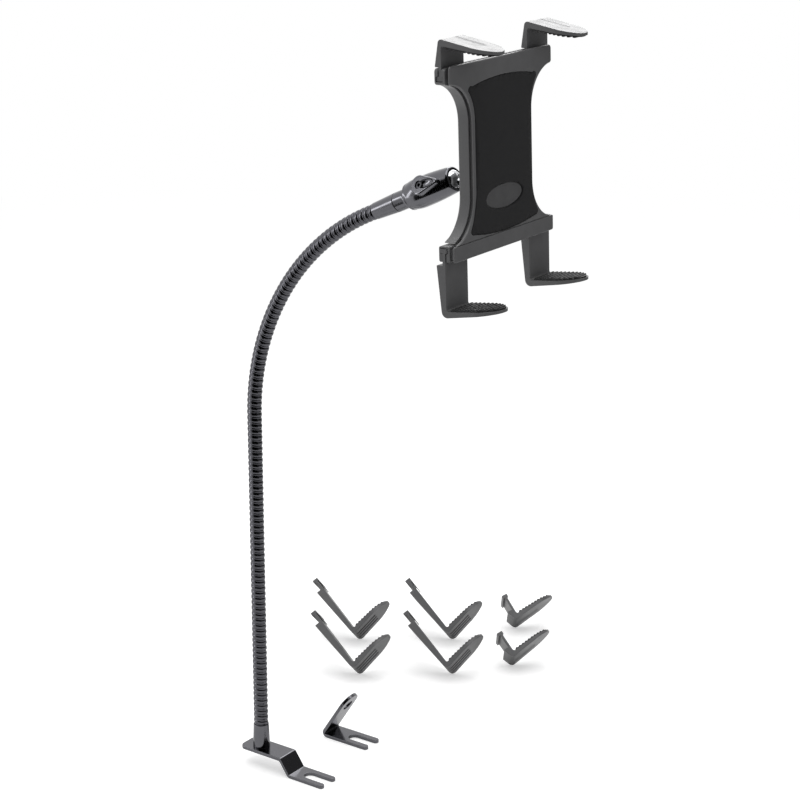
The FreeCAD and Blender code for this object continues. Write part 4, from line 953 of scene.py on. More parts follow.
@dataclass(frozen=True)
class Head:
    """The upper ferrule, the ball housing with its screw boss, the screw and the ball's stud."""

    ferrule_start: float = 7.15
    ferrule_end: float = 8.25
    ferrule_long: float = 24.6
    seam: float = 0.8
    collar_back: float = 42.6
    collar: float = 11.5
    collar_wide: float = 1.8
    wide_back: float = 30.0
    wide: float = 12.75
    front: float = 2.6
    front_radius: float = 10.9
    mouth: float = 5.5
    mouth_radius: float = 9.4
    seat: float = 10.5
    boss_turn: float = radians(26.0)
    boss_back: float = 22.6
    boss_round: float = 8.4
    boss_tip: float = 3.0
    boss_tip_round: float = 2.4
    boss_drop: float = 2.2
    boss_out: float = 14.3
    screw_head: float = 3.3
    screw_out: float = 13.4
    ball: float = 9.5

    @property
    def boss_place(self) -> Matrix:
        """The place on the head's axis with Z out along the screw and X forward."""
        way = -Y_WAY * cos(self.boss_turn) + HEAD_UP * sin(self.boss_turn)
        return frame_of(HEAD_WAY, way, BALL - HEAD_WAY * self.boss_back)

    def ferrule(self) -> None:
        """The conical sleeve on the neck's end."""
        start = -NECK_LINE.head_back
        stop = start + self.ferrule_long
        profile = filleted([
            (5.25, start), (self.ferrule_start, start, 0.6), (self.ferrule_end, stop, 0.3), (5.0, stop),
            (5.0, stop + 9), (0, stop + 9), (0, start + 8), (5.25, start + 8),
        ], steps=4)
        Form.turned(profile).settle(
            "upper_ferrule_polished", HEAD, Slot.BLACK_NICKEL, "neck_13", "upper_ferrule")
        edge = self.ferrule_end - 0.35
        seam = filleted([(5.1, stop), (edge, stop), (edge, stop + self.seam), (5.1, stop + self.seam)])
        Form.turned(seam).settle("seam_ring", HEAD, Slot.RUBBER, "neck_13", "seam_washer")

    def barrel(self) -> Form:
        """The housing's turned body.

        Returns:
            The stub, the swept collar, the bulged barrel and the mouth in one.
        """
        stub = -NECK_LINE.head_back + self.ferrule_long + self.seam
        sweep = [(self.ferrule_end + (self.collar - self.ferrule_end) * (1 - cos(radians(a))),
                  -self.collar_back - 4.0 + 4.0 * sin(radians(a))) for a in range(0, 91, 15)]
        swell = []
        for share in np.linspace(0, 1, 9)[1:]:
            back = -self.collar_back + self.collar_wide
            height = back + (-self.wide_back - back) * share
            swell.append((self.collar + (self.wide - self.collar) * (1 - (1 - share) ** 2), height))
        taper = []
        for share in np.linspace(0, 1, 13)[1:]:
            height = -self.wide_back + (self.wide_back + self.front) * share
            taper.append((self.wide - (self.wide - self.front_radius) * share ** 2, height))
        lip = [(self.front_radius - (self.front_radius - self.mouth_radius) * (1 - cos(radians(a))),
                self.front + (self.mouth - self.front) * sin(radians(a))) for a in range(15, 91, 15)]
        bowl = [(self.seat * sin(radians(a)), self.seat * cos(radians(a))) for a in range(64, 179, 6)]
        rim = [(self.collar, -self.collar_back), (self.collar + 0.12, -self.collar_back + 0.5),
               (self.collar, -self.collar_back + self.collar_wide)]
        return Form.turned([
            (0, stub), (self.ferrule_end, stub), *sweep[:-1], *rim, *swell, *taper, *lip,
            (self.mouth_radius - 0.5, self.mouth), *bowl, (0, -self.seat),
        ], 128)

    def housing(self) -> None:
        """The barrel with the teardrop boss, the screw's sink and the scoop that runs to the tip."""
        reach = self.boss_back - self.boss_tip - self.boss_tip_round
        centre, drop, small = Vector((reach, -self.boss_drop)), self.boss_drop, self.boss_tip_round
        gap = self.boss_round - small
        lean = asin(gap / hypot(reach, drop))
        bearing = atan2(-drop, reach)
        upper, lower = bearing + pi / 2 - lean, bearing - pi / 2 + lean
        outline = []
        for i in range(25):
            angle = upper + (2 * pi - (upper - lower)) * i / 24
            outline.append((self.boss_round * cos(angle), self.boss_round * sin(angle)))
        for i in range(13):
            angle = lower + (upper - lower) * i / 12
            outline.append((centre.x + small * cos(angle), centre.y + small * sin(angle)))
        boss = Form.slab(outline, [(0, 6), (0, self.boss_out - 1.5), (0.12, self.boss_out - 0.9),
                                   (0.45, self.boss_out - 0.35), (0.95, self.boss_out - 0.06),
                                   (1.5, self.boss_out)])
        sink = self.screw_head + 0.15
        arc = [(cos(radians(a)), sin(radians(a))) for a in range(-84, 90, 6)]
        scoop = Form.turned([(0, -1), *arc, (0, 1)], 64)
        trough = frame_of(X_WAY, Z_WAY, Vector((7.6, -1.3, self.boss_out + 0.5)))
        turn = Matrix.Rotation(-bearing * 0.9, 4, "Z").inverted()
        scoop.moved(trough @ turn @ Matrix.Diagonal((9.0, 3.9, 3.1, 1)))
        form = self.barrel().plus(boss.moved(HEAD.inverted() @ self.boss_place))
        for tool in (Form.turned([(0, 4), (sink, 4), (sink, 20), (0, 20)], 48), scoop):
            form.less(tool.moved(HEAD.inverted() @ self.boss_place))
        form.settle("ball_housing_polished", HEAD, Slot.BLACK_NICKEL, "neck_13", "ball_housing")

    def screw(self) -> None:
        """The socket screw sunk in the boss."""
        low = self.screw_out - 2.8
        form = Form.turned(filleted([
            (0, 2.6), (2, 2.6, 0.8), (2, low), (self.screw_head, low),
            (self.screw_head, self.screw_out, 0.4), (0, self.screw_out)], steps=3), 64)
        form.less(Form.prism(oval(1.7, 1.7, 6), self.screw_out - 1.6, self.screw_out + 1))
        form.settle("tension_screw_head", self.boss_place, Slot.SCREW, "screw", "tension_screw")

    def stud(self) -> None:
        """The chromed ball on its flared stud."""
        globe = [(self.ball * sin(radians(a)), -self.ball * cos(radians(a))) for a in range(0, 162, 4)]
        neck, flare, shank, groove = 3.0, 8.0, 4.0, 3.3
        profile = [*globe, *filleted([
            (neck, sqrt(self.ball ** 2 - neck ** 2)), (neck, 16.0, 2.0), (flare, 24.0, 1.2),
            (flare, 33.75, 0.6), (shank, 33.75), (shank, 37.05), (groove, 37.05), (groove, 37.75),
            (shank, 37.75), (shank, 39.3, 0.4), (0, 39.3),
        ], steps=4)[1:]]
        Form.turned(profile).settle("ball_and_stud", STUD, Slot.CHROME, "ball", "ball_stud")

    def build(self) -> None:
        """Makes the head's pieces."""
        self.ferrule()
        self.housing()
        self.screw()
        self.stud()


class PanScrew:
    """A pan screw with a cross recess."""

    @staticmethod
    def form(head: float, cap: float, shank: float, length: float) -> Form:
        """A screw along Z whose head lies below 0.

        Args:
            head: the head's radius.
            cap: the head's height.
            shank: the shank's radius.
            length: the shank's length.

        Returns:
            The form.
        """
        dome = [(head * cos(radians(a)), -cap * (0.35 + 0.65 * sin(radians(a)))) for a in range(0, 91, 15)]
        form = Form.turned([(0, length), (shank, length), (shank, 0), (head, 0), *dome[:-1], (0, -cap)], 40)
        wing, slot = head * 0.62, head * 0.13
        for turn in (0, pi / 2):
            cross = [(-wing, -slot), (wing, -slot), (wing, slot), (-wing, slot)]
            bar = Form.prism(cross, -cap - 1, -cap * 0.35)
            form.less(bar.moved(Matrix.Rotation(turn + pi / 4, 4, "Z")))
        return form


@dataclass(frozen=True)
class Holder:
    """The tablet holder: shell, face plate, felt, oval inlay, stud plate, screws and the lower bar."""

    back: float = 36.9
    deep: float = 10.2
    wall: float = 2.0
    reveal: float = 3.0
    plate: float = 2.3
    half: float = 72.7
    waist: float = 42.2
    upper_z: float = 56.5
    upper_r: float = 33.0
    lower_z: float = -2.0
    lower_r: float = 35.0
    plate_top: float = 103.9
    plate_foot: float = 35.9
    shell_top: float = 102.1
    shell_foot: float = 34.8
    tray_top: float = 90.1
    ear: float = 3.0
    ear_foot: float = 2.5
    leg_face: float = 43.5
    upper_head: float = 91.9
    lower_head: float = 37.9
    post_y: float = 35.2
    bar_half: float = 72.4
    bar_top: float = 36.1
    bar_foot: float = 48.5
    bar_back: float = 37.3
    bar_front: float = 47.5
    cover: float = 1.9
    web_half: float = 70.6
    felt_sunk: float = 1.2
    window_wide: float = 26.5
    window_high: float = 10.0
    window_drop: float = 7.2
    stud_plate_thick: float = 3.0

    @property
    def front(self) -> float:
        """The plate's face, forward of the ball."""
        return self.back + self.deep + self.reveal + self.plate

    def hourglass(self, top: float, foot: float) -> list[Pair]:
        """The holder's outline across and up, whose lower flare ends at the foot.

        Args:
            top: how high it reaches above the ball.
            foot: the height of its lower edge, below 0.

        Returns:
            The outline, with rounded ears.
        """
        half, waist, upper, lower = self.half, self.waist, self.upper_r, self.lower_r
        rise = self.upper_z + sqrt(upper ** 2 - (waist + upper - half) ** 2)
        reach = waist + lower - sqrt(lower ** 2 - (self.lower_z - foot) ** 2)
        outline = traced([
            (-reach, foot), (reach, foot, lower, "right"), (waist, self.lower_z),
            (waist, self.upper_z, upper, "right"), (half, rise), (half, top), (-half, top),
            (-half, rise, upper, "right"), (-waist, self.upper_z), (-waist, self.lower_z, lower, "right")])
        # Arc points that lie too near a corner are left out, so that the outline can be drawn in cleanly
        rounded = []
        for x, y in outline:
            away, radius, clear = min(
                (hypot(abs(x) - wide, y - high), radius, clear) for wide, high, radius, clear in (
                    (half, top, self.ear, 0.0), (half, rise, self.ear_foot, 3.0), (reach, foot, 0.0, 7.0)))
            if away < 0.01:
                rounded.append((x, y, radius))
            elif away > clear:
                rounded.append((x, y))
        return filleted(rounded)

    def tray(self, top: float, foot: float, inset: float) -> list[Pair]:
        """The outline of the shell's hollow.

        Args:
            top: the height of its upper edge.
            foot: the height of its lower edge.
            inset: how far it lies inside the holder's outline.

        Returns:
            The outline.
        """
        waist = self.waist - inset
        upper, lower = self.upper_r + inset, self.lower_r + inset
        reach_up = waist + upper - sqrt(upper ** 2 - (top - self.upper_z) ** 2)
        reach_low = waist + lower - sqrt(lower ** 2 - (self.lower_z - foot) ** 2)
        return traced([
            (-reach_low, foot), (reach_low, foot, lower, "right"), (waist, self.lower_z),
            (waist, self.upper_z, upper, "right"), (reach_up, top), (-reach_up, top, upper, "right"),
            (-waist, self.upper_z), (-waist, self.lower_z, lower, "right")])

    def slot_tool(self, head: float, mouth: float) -> Form:
        """The T-shaped hollow for the legs' heads.

        Args:
            head: the height of its inner end.
            mouth: the height of the edge that it opens through.

        Returns:
            The form to take away.
        """
        way = 1 if mouth > 0 else -1
        gap, high = 0.2, 3.6
        back, face = self.leg_face - 4.7 - gap, self.leg_face
        low, shoulder, out = head - way * gap, head + way * (high + gap), mouth + way * 3
        near, far = face + 2 * gap, face - 2.6 - 2 * gap
        side = [(back, low), (face + 1.7, low), (face + 1.7, shoulder), (near, shoulder),
                (near, out), (far, out), (far, shoulder), (back, shoulder)]
        return Form.side_prism(side, -self.half - 3, self.half + 3)

    def spots(self) -> list[Pair]:
        """Where the shell's four screws stand, across and up."""
        return [(y, z) for y in (-self.post_y, self.post_y) for z in (14.0, 58.0)]

    def shell(self) -> None:
        """The back tray with its soft rear edge and the slot along its top."""
        turn = frame_of(Y_WAY, X_WAY, Vector())
        outline = self.hourglass(self.shell_top, -self.shell_foot)
        hollow = self.tray(self.tray_top, self.wall - self.shell_foot, self.wall)
        form = Form.slab(outline, edge_layers(self.deep, 1.5, 0.3, 5))
        form.less(Form.prism(hollow, self.wall, self.deep + 2))
        for across, up in self.spots():
            form.less(Form.turned([(0, -1), (1.35, -1), (1.35, 4), (0, 4)], 24).moved(shifted(across, up, 0)))
        form.moved(turn @ shifted(0, 0, self.back))
        form.less(self.slot_tool(self.upper_head, self.shell_top))
        form.settle("rear_shell_moulded", HOLDER, Slot.PLASTIC, "holder", "rear_shell")

    def face(self) -> None:
        """The face plate with its rounded edge, the recess for the felt and the lip behind."""
        back = self.back + self.deep + self.reveal
        outline = self.hourglass(self.plate_top, -self.plate_foot)
        form = Form.slab(outline, edge_layers(self.plate, 0.5, 1.5, 6))
        form.less(Form.prism(self.pad_outline(0.12), self.plate - self.felt_sunk, self.plate + 1))
        wall, rim = self.wall + 0.15, 1.2
        outer = self.tray(self.tray_top - 0.15, wall - self.shell_foot, wall)
        inner = self.tray(self.tray_top - 1.35, wall + rim - self.shell_foot, wall + rim)
        lip = Form.prism(outer, -5.0, 0.65).less(Form.prism(inner, -6, 0.4))
        place = FACE @ shifted(0, 0, back)
        form.plus(lip).settle("face_plate_moulded", place, Slot.PLASTIC, "holder", "front_plate")

    def pad_outline(self, grow: float = 0.0) -> list[Pair]:
        """The felt's outline.

        Args:
            grow: how far it is grown all round.

        Returns:
            The outline.
        """
        foot, knee, waist, shoulder, crown = 46.7, 49.2, 40.6, 48.9, 43.4
        outline = traced([
            (-foot, -30.9, 254.0, "left"), (foot, -30.9, 3.6, "left"), (knee, -27.9, 67.0, "right"),
            (waist, 2.0), (waist, 59.6, 35.3, "right"), (shoulder, 82.1, 3.6, "left"),
            (crown, 85.1, 233.0, "left"), (-crown, 85.1, 3.6, "left"), (-shoulder, 82.1, 35.3, "right"),
            (-waist, 59.6), (-waist, 2.0, 67.0, "right"), (-knee, -27.9, 3.6, "left")], 2.0)
        return drawn_in(outline, -grow)

    def window(self, grow: float = 0.0) -> list[Pair]:
        """The felt's oval window, grown all round."""
        return [(x, y - self.window_drop) for x, y in oval(self.window_wide + grow, self.window_high + grow)]

    def beside_window(self, x: float, y: float) -> bool:
        """Whether a spot lies outside the oval window."""
        return (x / self.window_wide) ** 2 + ((y + self.window_drop) / self.window_high) ** 2 > 1

    def felt(self) -> None:
        """The felt pad: a soft edge, a slight crown and an oval window."""
        outer, window = self.pad_outline(), self.window()
        rings = [outer, window]
        for inset in (0.2, 0.55, 1.1, 2.2):
            rings += [drawn_in(outer, inset), self.window(inset)]
        bounds = [list(range(len(outer))), list(range(len(outer), len(outer) + len(window)))]
        edges = [(loop[i - 1], loop[i]) for loop in bounds for i in range(len(loop))]
        border, walls = np.array(outer + window), np.array(outer)
        mesh_size = 3.2

        def from_border(x: float, y: float) -> float:
            """The distance to the nearest point of the felt's border."""
            return float(np.min(np.hypot(border[:, 0] - x, border[:, 1] - y)))

        def inside(x: float, y: float) -> bool:
            """Whether a spot lies well inside the felt."""
            odd = False
            for (ax, ay), (bx, by) in zip(walls, np.roll(walls, 1, axis=0)):
                if (ay > y) != (by > y) and x < (bx - ax) * (y - ay) / (by - ay) + ax:
                    odd = not odd
            return odd and from_border(x, y) > mesh_size and self.beside_window(x, y)

        spots = [spot for ring in rings for spot in ring]
        spots += [(x, y) for x in np.arange(-48, 48.1, mesh_size) for y in np.arange(-32, 92, mesh_size)
                  if inside(x, y)]
        made = delaunay_2d_cdt([Vector(spot) for spot in spots], edges, [], 1, 1e-5)
        flat = made[0]
        triangles = [t for t in made[2] if self.beside_window(
            sum(flat[i].x for i in t) / 3, sum(flat[i].y for i in t) / 3)]
        thick, crown_high, crown_reach, edge_round = 1.6, 0.22, 14.0, 0.8
        heights = []
        for spot in flat:
            near = from_border(spot.x, spot.y)
            edge = max(0.0, edge_round - near)
            crown = crown_high * min(near / crown_reach, 1.0) ** 0.7
            drop = (edge_round - sqrt(max(edge_round ** 2 - edge ** 2, 0.0))) * 0.9
            heights.append(thick - drop + crown - 0.1)
        count = len(flat)
        points = [(s.x, s.y, h) for s, h in zip(flat, heights)] + [(s.x, s.y, 0.0) for s in flat]
        faces = [tuple(t) for t in triangles] + [tuple(i + count for i in reversed(t)) for t in triangles]
        runs = dict.fromkeys((t[i], t[(i + 1) % 3]) for t in triangles for i in range(3))
        faces += [(a, a + count, b + count, b) for a, b in runs if (b, a) not in runs]
        place = FACE @ shifted(0, 0, self.front - self.felt_sunk)
        piece = Form(points, faces).settle("felt_pad", place, Slot.FELT, "holder", "front_pad")

    def inlay(self) -> None:
        """The bare oval inlay with a fine raised rim."""
        play = 0.5
        outline = oval(self.window_wide - play, self.window_high - play, 96)
        form = Form.slab(outline, [(0, 0), (0, 0.35), (0.18, 0.5), (0.9, 0.5), (1.15, 0.38), (1.5, 0.36)])
        place = FACE @ shifted(0, -self.window_drop, self.front - self.felt_sunk)
        form.settle("oval_inlay", place, Slot.BADGE, "holder", "badge")

    def stud_plate(self) -> None:
        """The painted plate behind the shell and its four screws."""
        corners = [(-20, -28, 7), (20, -28, 7), (20, 28, 7), (-20, 28, 7)]
        form = Form.slab(filleted(corners, 8), edge_layers(self.stud_plate_thick, 0.6, 0.1, 3))
        form.less(Form.turned([(0, -1), (4.05, -1), (4.05, 4), (0, 4)], 40))
        place = FACE @ shifted(0, 0, self.back - self.stud_plate_thick)
        form.settle("stud_plate_painted", place, Slot.PAINT, "holder", "stud_plate")

    def screws(self) -> None:
        """The screws through the stud plate and through the shell."""
        groups = [
            ("plate_pan_screws", "plate_screws", [(y, z) for y in (-10, 10) for z in (-22, 22)],
             self.back - self.stud_plate_thick, (3.0, 1.6, 1.5, 7.9)),
            ("shell_pan_screws", "shell_screws", self.spots(), self.back, (2.4, 1.3, 1.3, 8.9)),
        ]
        for name, stands_for, spots, depth, sizes in groups:
            group: Form | None = None
            for across, up in spots:
                screw = PanScrew.form(*sizes).moved(shifted(across, up, depth))
                group = group.plus(screw) if group else screw
            group.settle(name, FACE, Slot.SCREW, "holder", stands_for)

    def bar(self) -> None:
        """The sliding bar with its T-slot, and its front cover."""
        back, front = self.bar_back, self.bar_front
        side = filleted([(back, -self.bar_foot, 1.4), (front, -self.bar_foot, 0.6),
                         (front, -self.bar_top, 0.6), (back, -self.bar_top, 1.4)])
        form = Form.side_prism(side, -self.bar_half, self.bar_half)
        form.less(self.slot_tool(-self.lower_head, -self.bar_foot)).softened(0.35, 2, 50)
        form.settle("lower_bar_moulded", HOLDER, Slot.PLASTIC, "bar", "lower_bar")
        corners = [(-self.bar_half, -self.bar_foot, 1.8), (self.bar_half, -self.bar_foot, 1.8),
                   (self.bar_half, -self.bar_top, 1.2), (-self.bar_half, -self.bar_top, 1.2)]
        skin = Form.slab(filleted(corners), edge_layers(self.cover, 0.4, 0.6, 3))
        half, low, high = self.web_half, -46.4, -38.2
        web = Form.prism([(-half, low), (half, low), (half, high), (-half, high)], -3.0, 0.5)
        place = FACE @ shifted(0, 0, self.front - self.cover)
        skin.plus(web).settle("bar_cover_moulded", place, Slot.PLASTIC, "bar", "bar_cover")

    def build(self) -> None:
        """Makes the holder's pieces."""
        self.shell()
        self.face()
        self.felt()
        self.inlay()
        self.stud_plate()
        self.screws()
        self.bar()


@dataclass(frozen=True)
class Leg:
    """A hooked leg and its ribbed grip. Z runs from the T-head to the hook and X out along the hook."""

    length: float
    shoulder: float
    lean_deg: float
    grooved: bool
    clipped: bool = False
    half: float = 15.5
    thick: float = 8.4
    bend: float = 4.2
    hook: float = 5.0
    taper_deg: float = 3.5
    reach: float = 45.9
    head_back: float = 4.7
    head_front: float = 1.5
    head_high: float = 3.6
    tongue: float = 2.6
    round_out: float = 5.0
    plan_start: float = 25.0
    plan_side: float = 40.5
    plan_side_half: float = 9.5
    channel_end: float = 31.0

    @property
    def slope(self) -> float:
        """The hook's fall for each millimetre out."""
        return tan(radians(self.lean_deg))

    @property
    def grip_lean(self) -> float:
        """The lean of the hook's inner face, on which the grip lies."""
        return radians(self.lean_deg - self.taper_deg)

    @property
    def inner(self) -> float:
        """The height of the hook's inner face at the leg's front."""
        return self.length - self.bend * self.slope - self.hook / cos(radians(self.lean_deg))

    def plan(self, inset: float = 0.0) -> list[Pair]:
        """The hook's outline from above, with its rounded end.

        Args:
            inset: how far it is drawn in.

        Returns:
            The outline.
        """
        half, reach = self.half - inset, self.reach - inset
        side, side_half = self.plan_side - inset, self.plan_side_half - inset / 2
        run, fall = side - self.plan_start, half - side_half
        radius = (run ** 2 + fall ** 2) / (2 * fall)
        flank = [(self.plan_start + radius * sin(a), half - radius * (1 - cos(a)))
                 for a in np.linspace(0, asin(run / radius), 9)]
        nose_in = reach - side
        nose_radius = (nose_in ** 2 + side_half ** 2) / (2 * nose_in)
        span = asin(side_half / nose_radius)
        nose = [(reach - nose_radius * (1 - cos(a)), nose_radius * sin(a))
                for a in np.linspace(span, -span, 15)]
        back = -self.thick - 3
        low_flank = [(x, -y) for x, y in flank]
        return [(back, -half), *low_flank[:-1], *reversed(nose), *reversed(flank[:-1]), (back, half)]

    def form(self) -> Form:
        """The moulded leg.

        Returns:
            The leg with softened edges and its channel or grooves.
        """
        reach = self.reach + 2
        side = filleted([
            (-self.head_back, 0, 0.5), (self.head_front, 0, 0.5), (self.head_front, self.head_high, 0.4),
            (0, self.head_high, 0.2), (0, self.inner, 2.2), (reach, self.inner - reach * tan(self.grip_lean)),
            (reach, self.length - (reach + self.bend) * self.slope),
            (-self.bend, self.length, self.round_out),
            (-self.thick, self.shoulder, 0.8), (-self.tongue, self.shoulder, 0.2),
            (-self.tongue, self.head_high, 0.2), (-self.head_back, self.head_high, 0.4),
        ], steps=6)
        form = Form.side_prism(side, -self.half - 1, self.half + 1)
        form.meet(Form.prism(self.plan(), -2, self.length + 2))
        form.softened(0.7, 3, 40)
        for middle in (-6.5, 0.0, 6.5) if self.grooved else (0.0,):
            form.less(self.lane(middle))
        if self.clipped:
            back, front = self.head_front - 0.8, self.head_front
            low, high = self.head_high - 0.5, self.head_high + 9.4
            tab = filleted([(back, low), (front, low), (front, high, 0.3), (back, high, 0.3)])
            form.plus(Form.side_prism(tab, -7, 7))
        return form

    def lane(self, middle: float) -> Form:
        """One lane along the hook's outer face: a narrow groove, or the wide shallow channel.

        Args:
            middle: where it runs, across the leg.

        Returns:
            The form to take away.
        """
        half, depth, slope, narrowing = (1.3, 1.1, 0.5, 0.6) if self.grooved else (4.6, 0.6, 1.8, 0.96)
        rim, above, end = half + slope, 0.02, self.channel_end
        cross = [(-half, -depth), (half, -depth), (rim, above), (rim, 2), (-rim, 2), (-rim, above)]
        loops = [[(-8, middle + y, z) for y, z in cross],
                 [(end - 0.9, middle + y, z) for y, z in cross],
                 [(end + 0.4, middle + y * narrowing, max(z, above)) for y, z in cross]]
        face = shifted(-self.bend, 0, self.length) @ Matrix.Rotation(radians(self.lean_deg), 4, "Y")
        return Form.stacked(loops).moved(face)

    def grip(self) -> Form:
        """The rubber on the hook's inner face.

        Returns:
            The rubber with its ribs across the hook.
        """
        flat, peak = -1.1, -1.9
        start, pitch, wide, count = 3.0, 3.9, 2.4, 10
        stop = start + count * pitch + 2
        corners = [(start, 0.05, 0.0), (start, flat, 0.3)]
        flank = 0.45
        for rib in range(count):
            left = start + rib * pitch + (pitch - wide) / 2
            corners += [(left, flat, 0.15), (left + flank, peak, 0.3), (left + wide - flank, peak, 0.3),
                        (left + wide, flat, 0.15)]
        corners += [(stop, flat, 0.0), (stop, 0.05, 0.0)]
        form = Form.side_prism(filleted(corners, 3), -self.half, self.half)
        form.moved(shifted(0, 0, self.inner) @ Matrix.Rotation(self.grip_lean, 4, "Y"))
        form.meet(Form.prism(self.plan(1.6), -2, self.length))
        return form.softened(0.2, 2, 50)

    def settle(self, name: str, body: str, place: Matrix) -> None:
        """Sets the leg and its grip down.

        Args:
            name: the CAD node that the leg stands for.
            body: the body that both ride on.
            place: from the leg's frame to the holder's or the floor's, in millimetres.
        """
        self.form().settle(f"{name}_moulded", place, Slot.PLASTIC, body, name)
        self.grip().settle(f"{name}_rubber", place, Slot.RUBBER, body, f"{name}_grip")


@dataclass(frozen=True)
class Legs:
    """The four legs in their slots."""

    left: float = -57.6
    right: float = 64.6
    upper_shift: float = 1.2

    def build(self) -> None:
        """Makes two short legs above and two medium legs below."""
        holder = Holder()
        upper = Leg(32.6, 10.8, 11.0, False, thick=6.0, bend=2.2, round_out=3.0, reach=45.4)
        lower = Leg(56.1, 13.4, 9.0, True, reach=45.0)
        for side, across in (("left", self.left), ("right", self.right)):
            above = HOLDER @ shifted(holder.leg_face, across + self.upper_shift, holder.upper_head)
            upper.settle(f"upper_{side}_leg", f"upper_{side}_leg", above)
            below = HOLDER @ shifted(holder.leg_face, across, -holder.lower_head)
            lower.settle(f"lower_{side}_leg", f"lower_{side}_leg", below @ Matrix.Rotation(pi, 4, "X"))


@dataclass(frozen=True)
class Spares:
    """The spare bracket and the six spare legs that lie beside the foot."""

    bracket_spot: Vector = Vector((-13.5, 87.0, 0.0))
    fold: float = 33.9
    rise: float = radians(57.0)
    flap: float = 57.5
    hole: float = 5.5
    hole_in: float = 14.0

    def bracket(self) -> None:
        """The strip folded back over its own fork, creased inside and round outside."""
        foot = Foot()
        thick, half = foot.thick, foot.width / 2
        inner = thick / tan(self.rise / 2) - self.fold
        tip_x, tip_z = -self.fold + self.flap * cos(self.rise), self.flap * sin(self.rise)
        side = filleted([
            (-self.fold, 0, 5.0), (foot.reach, 0), (foot.reach, thick), (inner, thick, 0.7),
            (tip_x + thick * sin(self.rise), tip_z - thick * cos(self.rise)), (tip_x, tip_z),
        ], steps=6)
        form = Form.side_prism(side, -half - 1, half + 1)
        plan = Form.prism(foot.fork_plan(self.fold + 6, 0.0), -3, 8)
        plan.plus(Form.prism([(-60, -half), (60, -half), (60, half), (-60, half)], 7.5, self.flap))
        form.meet(plan)
        flap_way = Vector((cos(self.rise), 0, sin(self.rise)))
        out = Vector((-sin(self.rise), 0, cos(self.rise)))
        flap_place = frame_of(flap_way, out, Vector((-self.fold, 0, 0)))
        bend = half - 0.05
        end = filleted([(-70, -half), (self.flap, -half, bend), (self.flap, half, bend), (-70, half)], 14)
        form.meet(Form.prism(end, -70, 30).moved(flap_place))
        form.less(Form.turned([(0, -6), (self.hole, -6), (self.hole, 6), (0, 6)], 64).moved(
            flap_place @ shifted(self.flap - self.hole_in, 0, 0)))
        place = Matrix.Translation(self.bracket_spot)
        form.softened(foot.edge_round, 3, 40).settle(
            "spare_bracket_folded", place, Slot.BLACK_NICKEL, "foot", "spare_bracket")

    @staticmethod
    def standing(node_name: str, leg: Leg, turns_deg: tuple[float, float, float]) -> Matrix:
        """The place of a spare leg that stands on its bend, centred on its CAD node's box.

        Args:
            node_name: the CAD node.
            leg: the leg.
            turns_deg: its heading, how steeply its strip rises and how far it lies back.

        Returns:
            The place in millimetres.
        """
        heading, rise, back = (radians(turn) for turn in turns_deg)
        level = Vector((cos(heading), sin(heading), 0))
        away = Vector((-sin(heading), cos(heading), 0))
        up = Z_WAY * cos(back) + away * sin(back)
        turn = frame_of(level * sin(rise) + up * cos(rise), level * cos(rise) - up * sin(rise), Vector())
        trial = leg.form()
        spots = np.array([turn @ v.co for v in trial.body.data.vertices])
        bpy.data.objects.remove(trial.body)
        low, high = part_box(node_name)
        middle = (np.array(low) + np.array(high)) / 2 / MM
        shift = middle - (spots.min(axis=0) + spots.max(axis=0)) / 2
        return Matrix.Translation(shift) @ turn

    def build(self) -> None:
        """Makes the bracket and the legs."""
        self.bracket()
        long_leg, short_leg = Leg(76.0, 13.4, 9.3, True, True), Leg(30.5, 18.5, 7.7, False, True)
        stands = [(f"spare_long_leg_{number}", long_leg, (20.0, 44.0, 37.0)) for number in range(1, 5)]
        stands += [("spare_short_leg_1", short_leg, (35.0, 61.0, 42.0)),
                   ("spare_short_leg_2", short_leg, (35.0, 57.5, 42.0))]
        for name, leg, turns in stands:
            leg.settle(name, "foot", self.standing(name, leg, turns))


# Studio

@dataclass(frozen=True)
class Card:
    """A dark reflection card that stands round the object, seen by gloss alone."""

    name: str
    centre: Pair
    radius: float
    first_deg: float
    last_deg: float
    low: float
    high: float
    colour: str

    def build(self) -> None:
        """Makes the card as a piece of an upright drum."""
        steps = 24
        points, faces = [], []
        for i in range(steps + 1):
            angle = radians(self.first_deg + (self.last_deg - self.first_deg) * i / steps)
            x, y = self.centre[0] + self.radius * cos(angle), self.centre[1] + self.radius * sin(angle)
            points += [(x, y, self.low), (x, y, self.high)]
        for i in range(steps):
            faces.append((2 * i, 2 * i + 2, 2 * i + 3, 2 * i + 1))
        mesh = bpy.data.meshes.new(self.name)
        mesh.from_pydata(points, [], faces)
        card = bpy.data.objects.new(self.name, mesh)
        bpy.context.scene.collection.objects.link(card)
        card.visible_camera = card.visible_diffuse = card.visible_shadow = card.visible_transmission = False
        made = bpy.data.materials.new(self.name)
        made.use_nodes = True
        made.node_tree.nodes.clear()
        glow = node(made.node_tree, "ShaderNodeEmission", {"Color": linear(self.colour), "Strength": 1.0})
        node(made.node_tree, "ShaderNodeOutputMaterial", {"Surface": glow.outputs[0]})
        mesh.materials.append(made)


@dataclass(frozen=True)
class Softbox:
    """An area lamp aimed at a point, in metres and watts."""

    name: str
    spot: tuple[float, float, float]
    aim: tuple[float, float, float]
    wide: float
    high: float
    watts: float

    def build(self) -> None:
        """Makes the lamp."""
        light = bpy.data.lights.new(self.name, "AREA")
        light.shape = "RECTANGLE"
        light.size, light.size_y, light.energy = self.wide, self.high, self.watts
        lamp = bpy.data.objects.new(self.name, light)
        lamp.location = self.spot
        lamp.rotation_euler = (Vector(self.aim) - Vector(self.spot)).to_track_quat("-Z", "Y").to_euler()
        lamp.visible_camera = False
        bpy.context.scene.collection.objects.link(lamp)


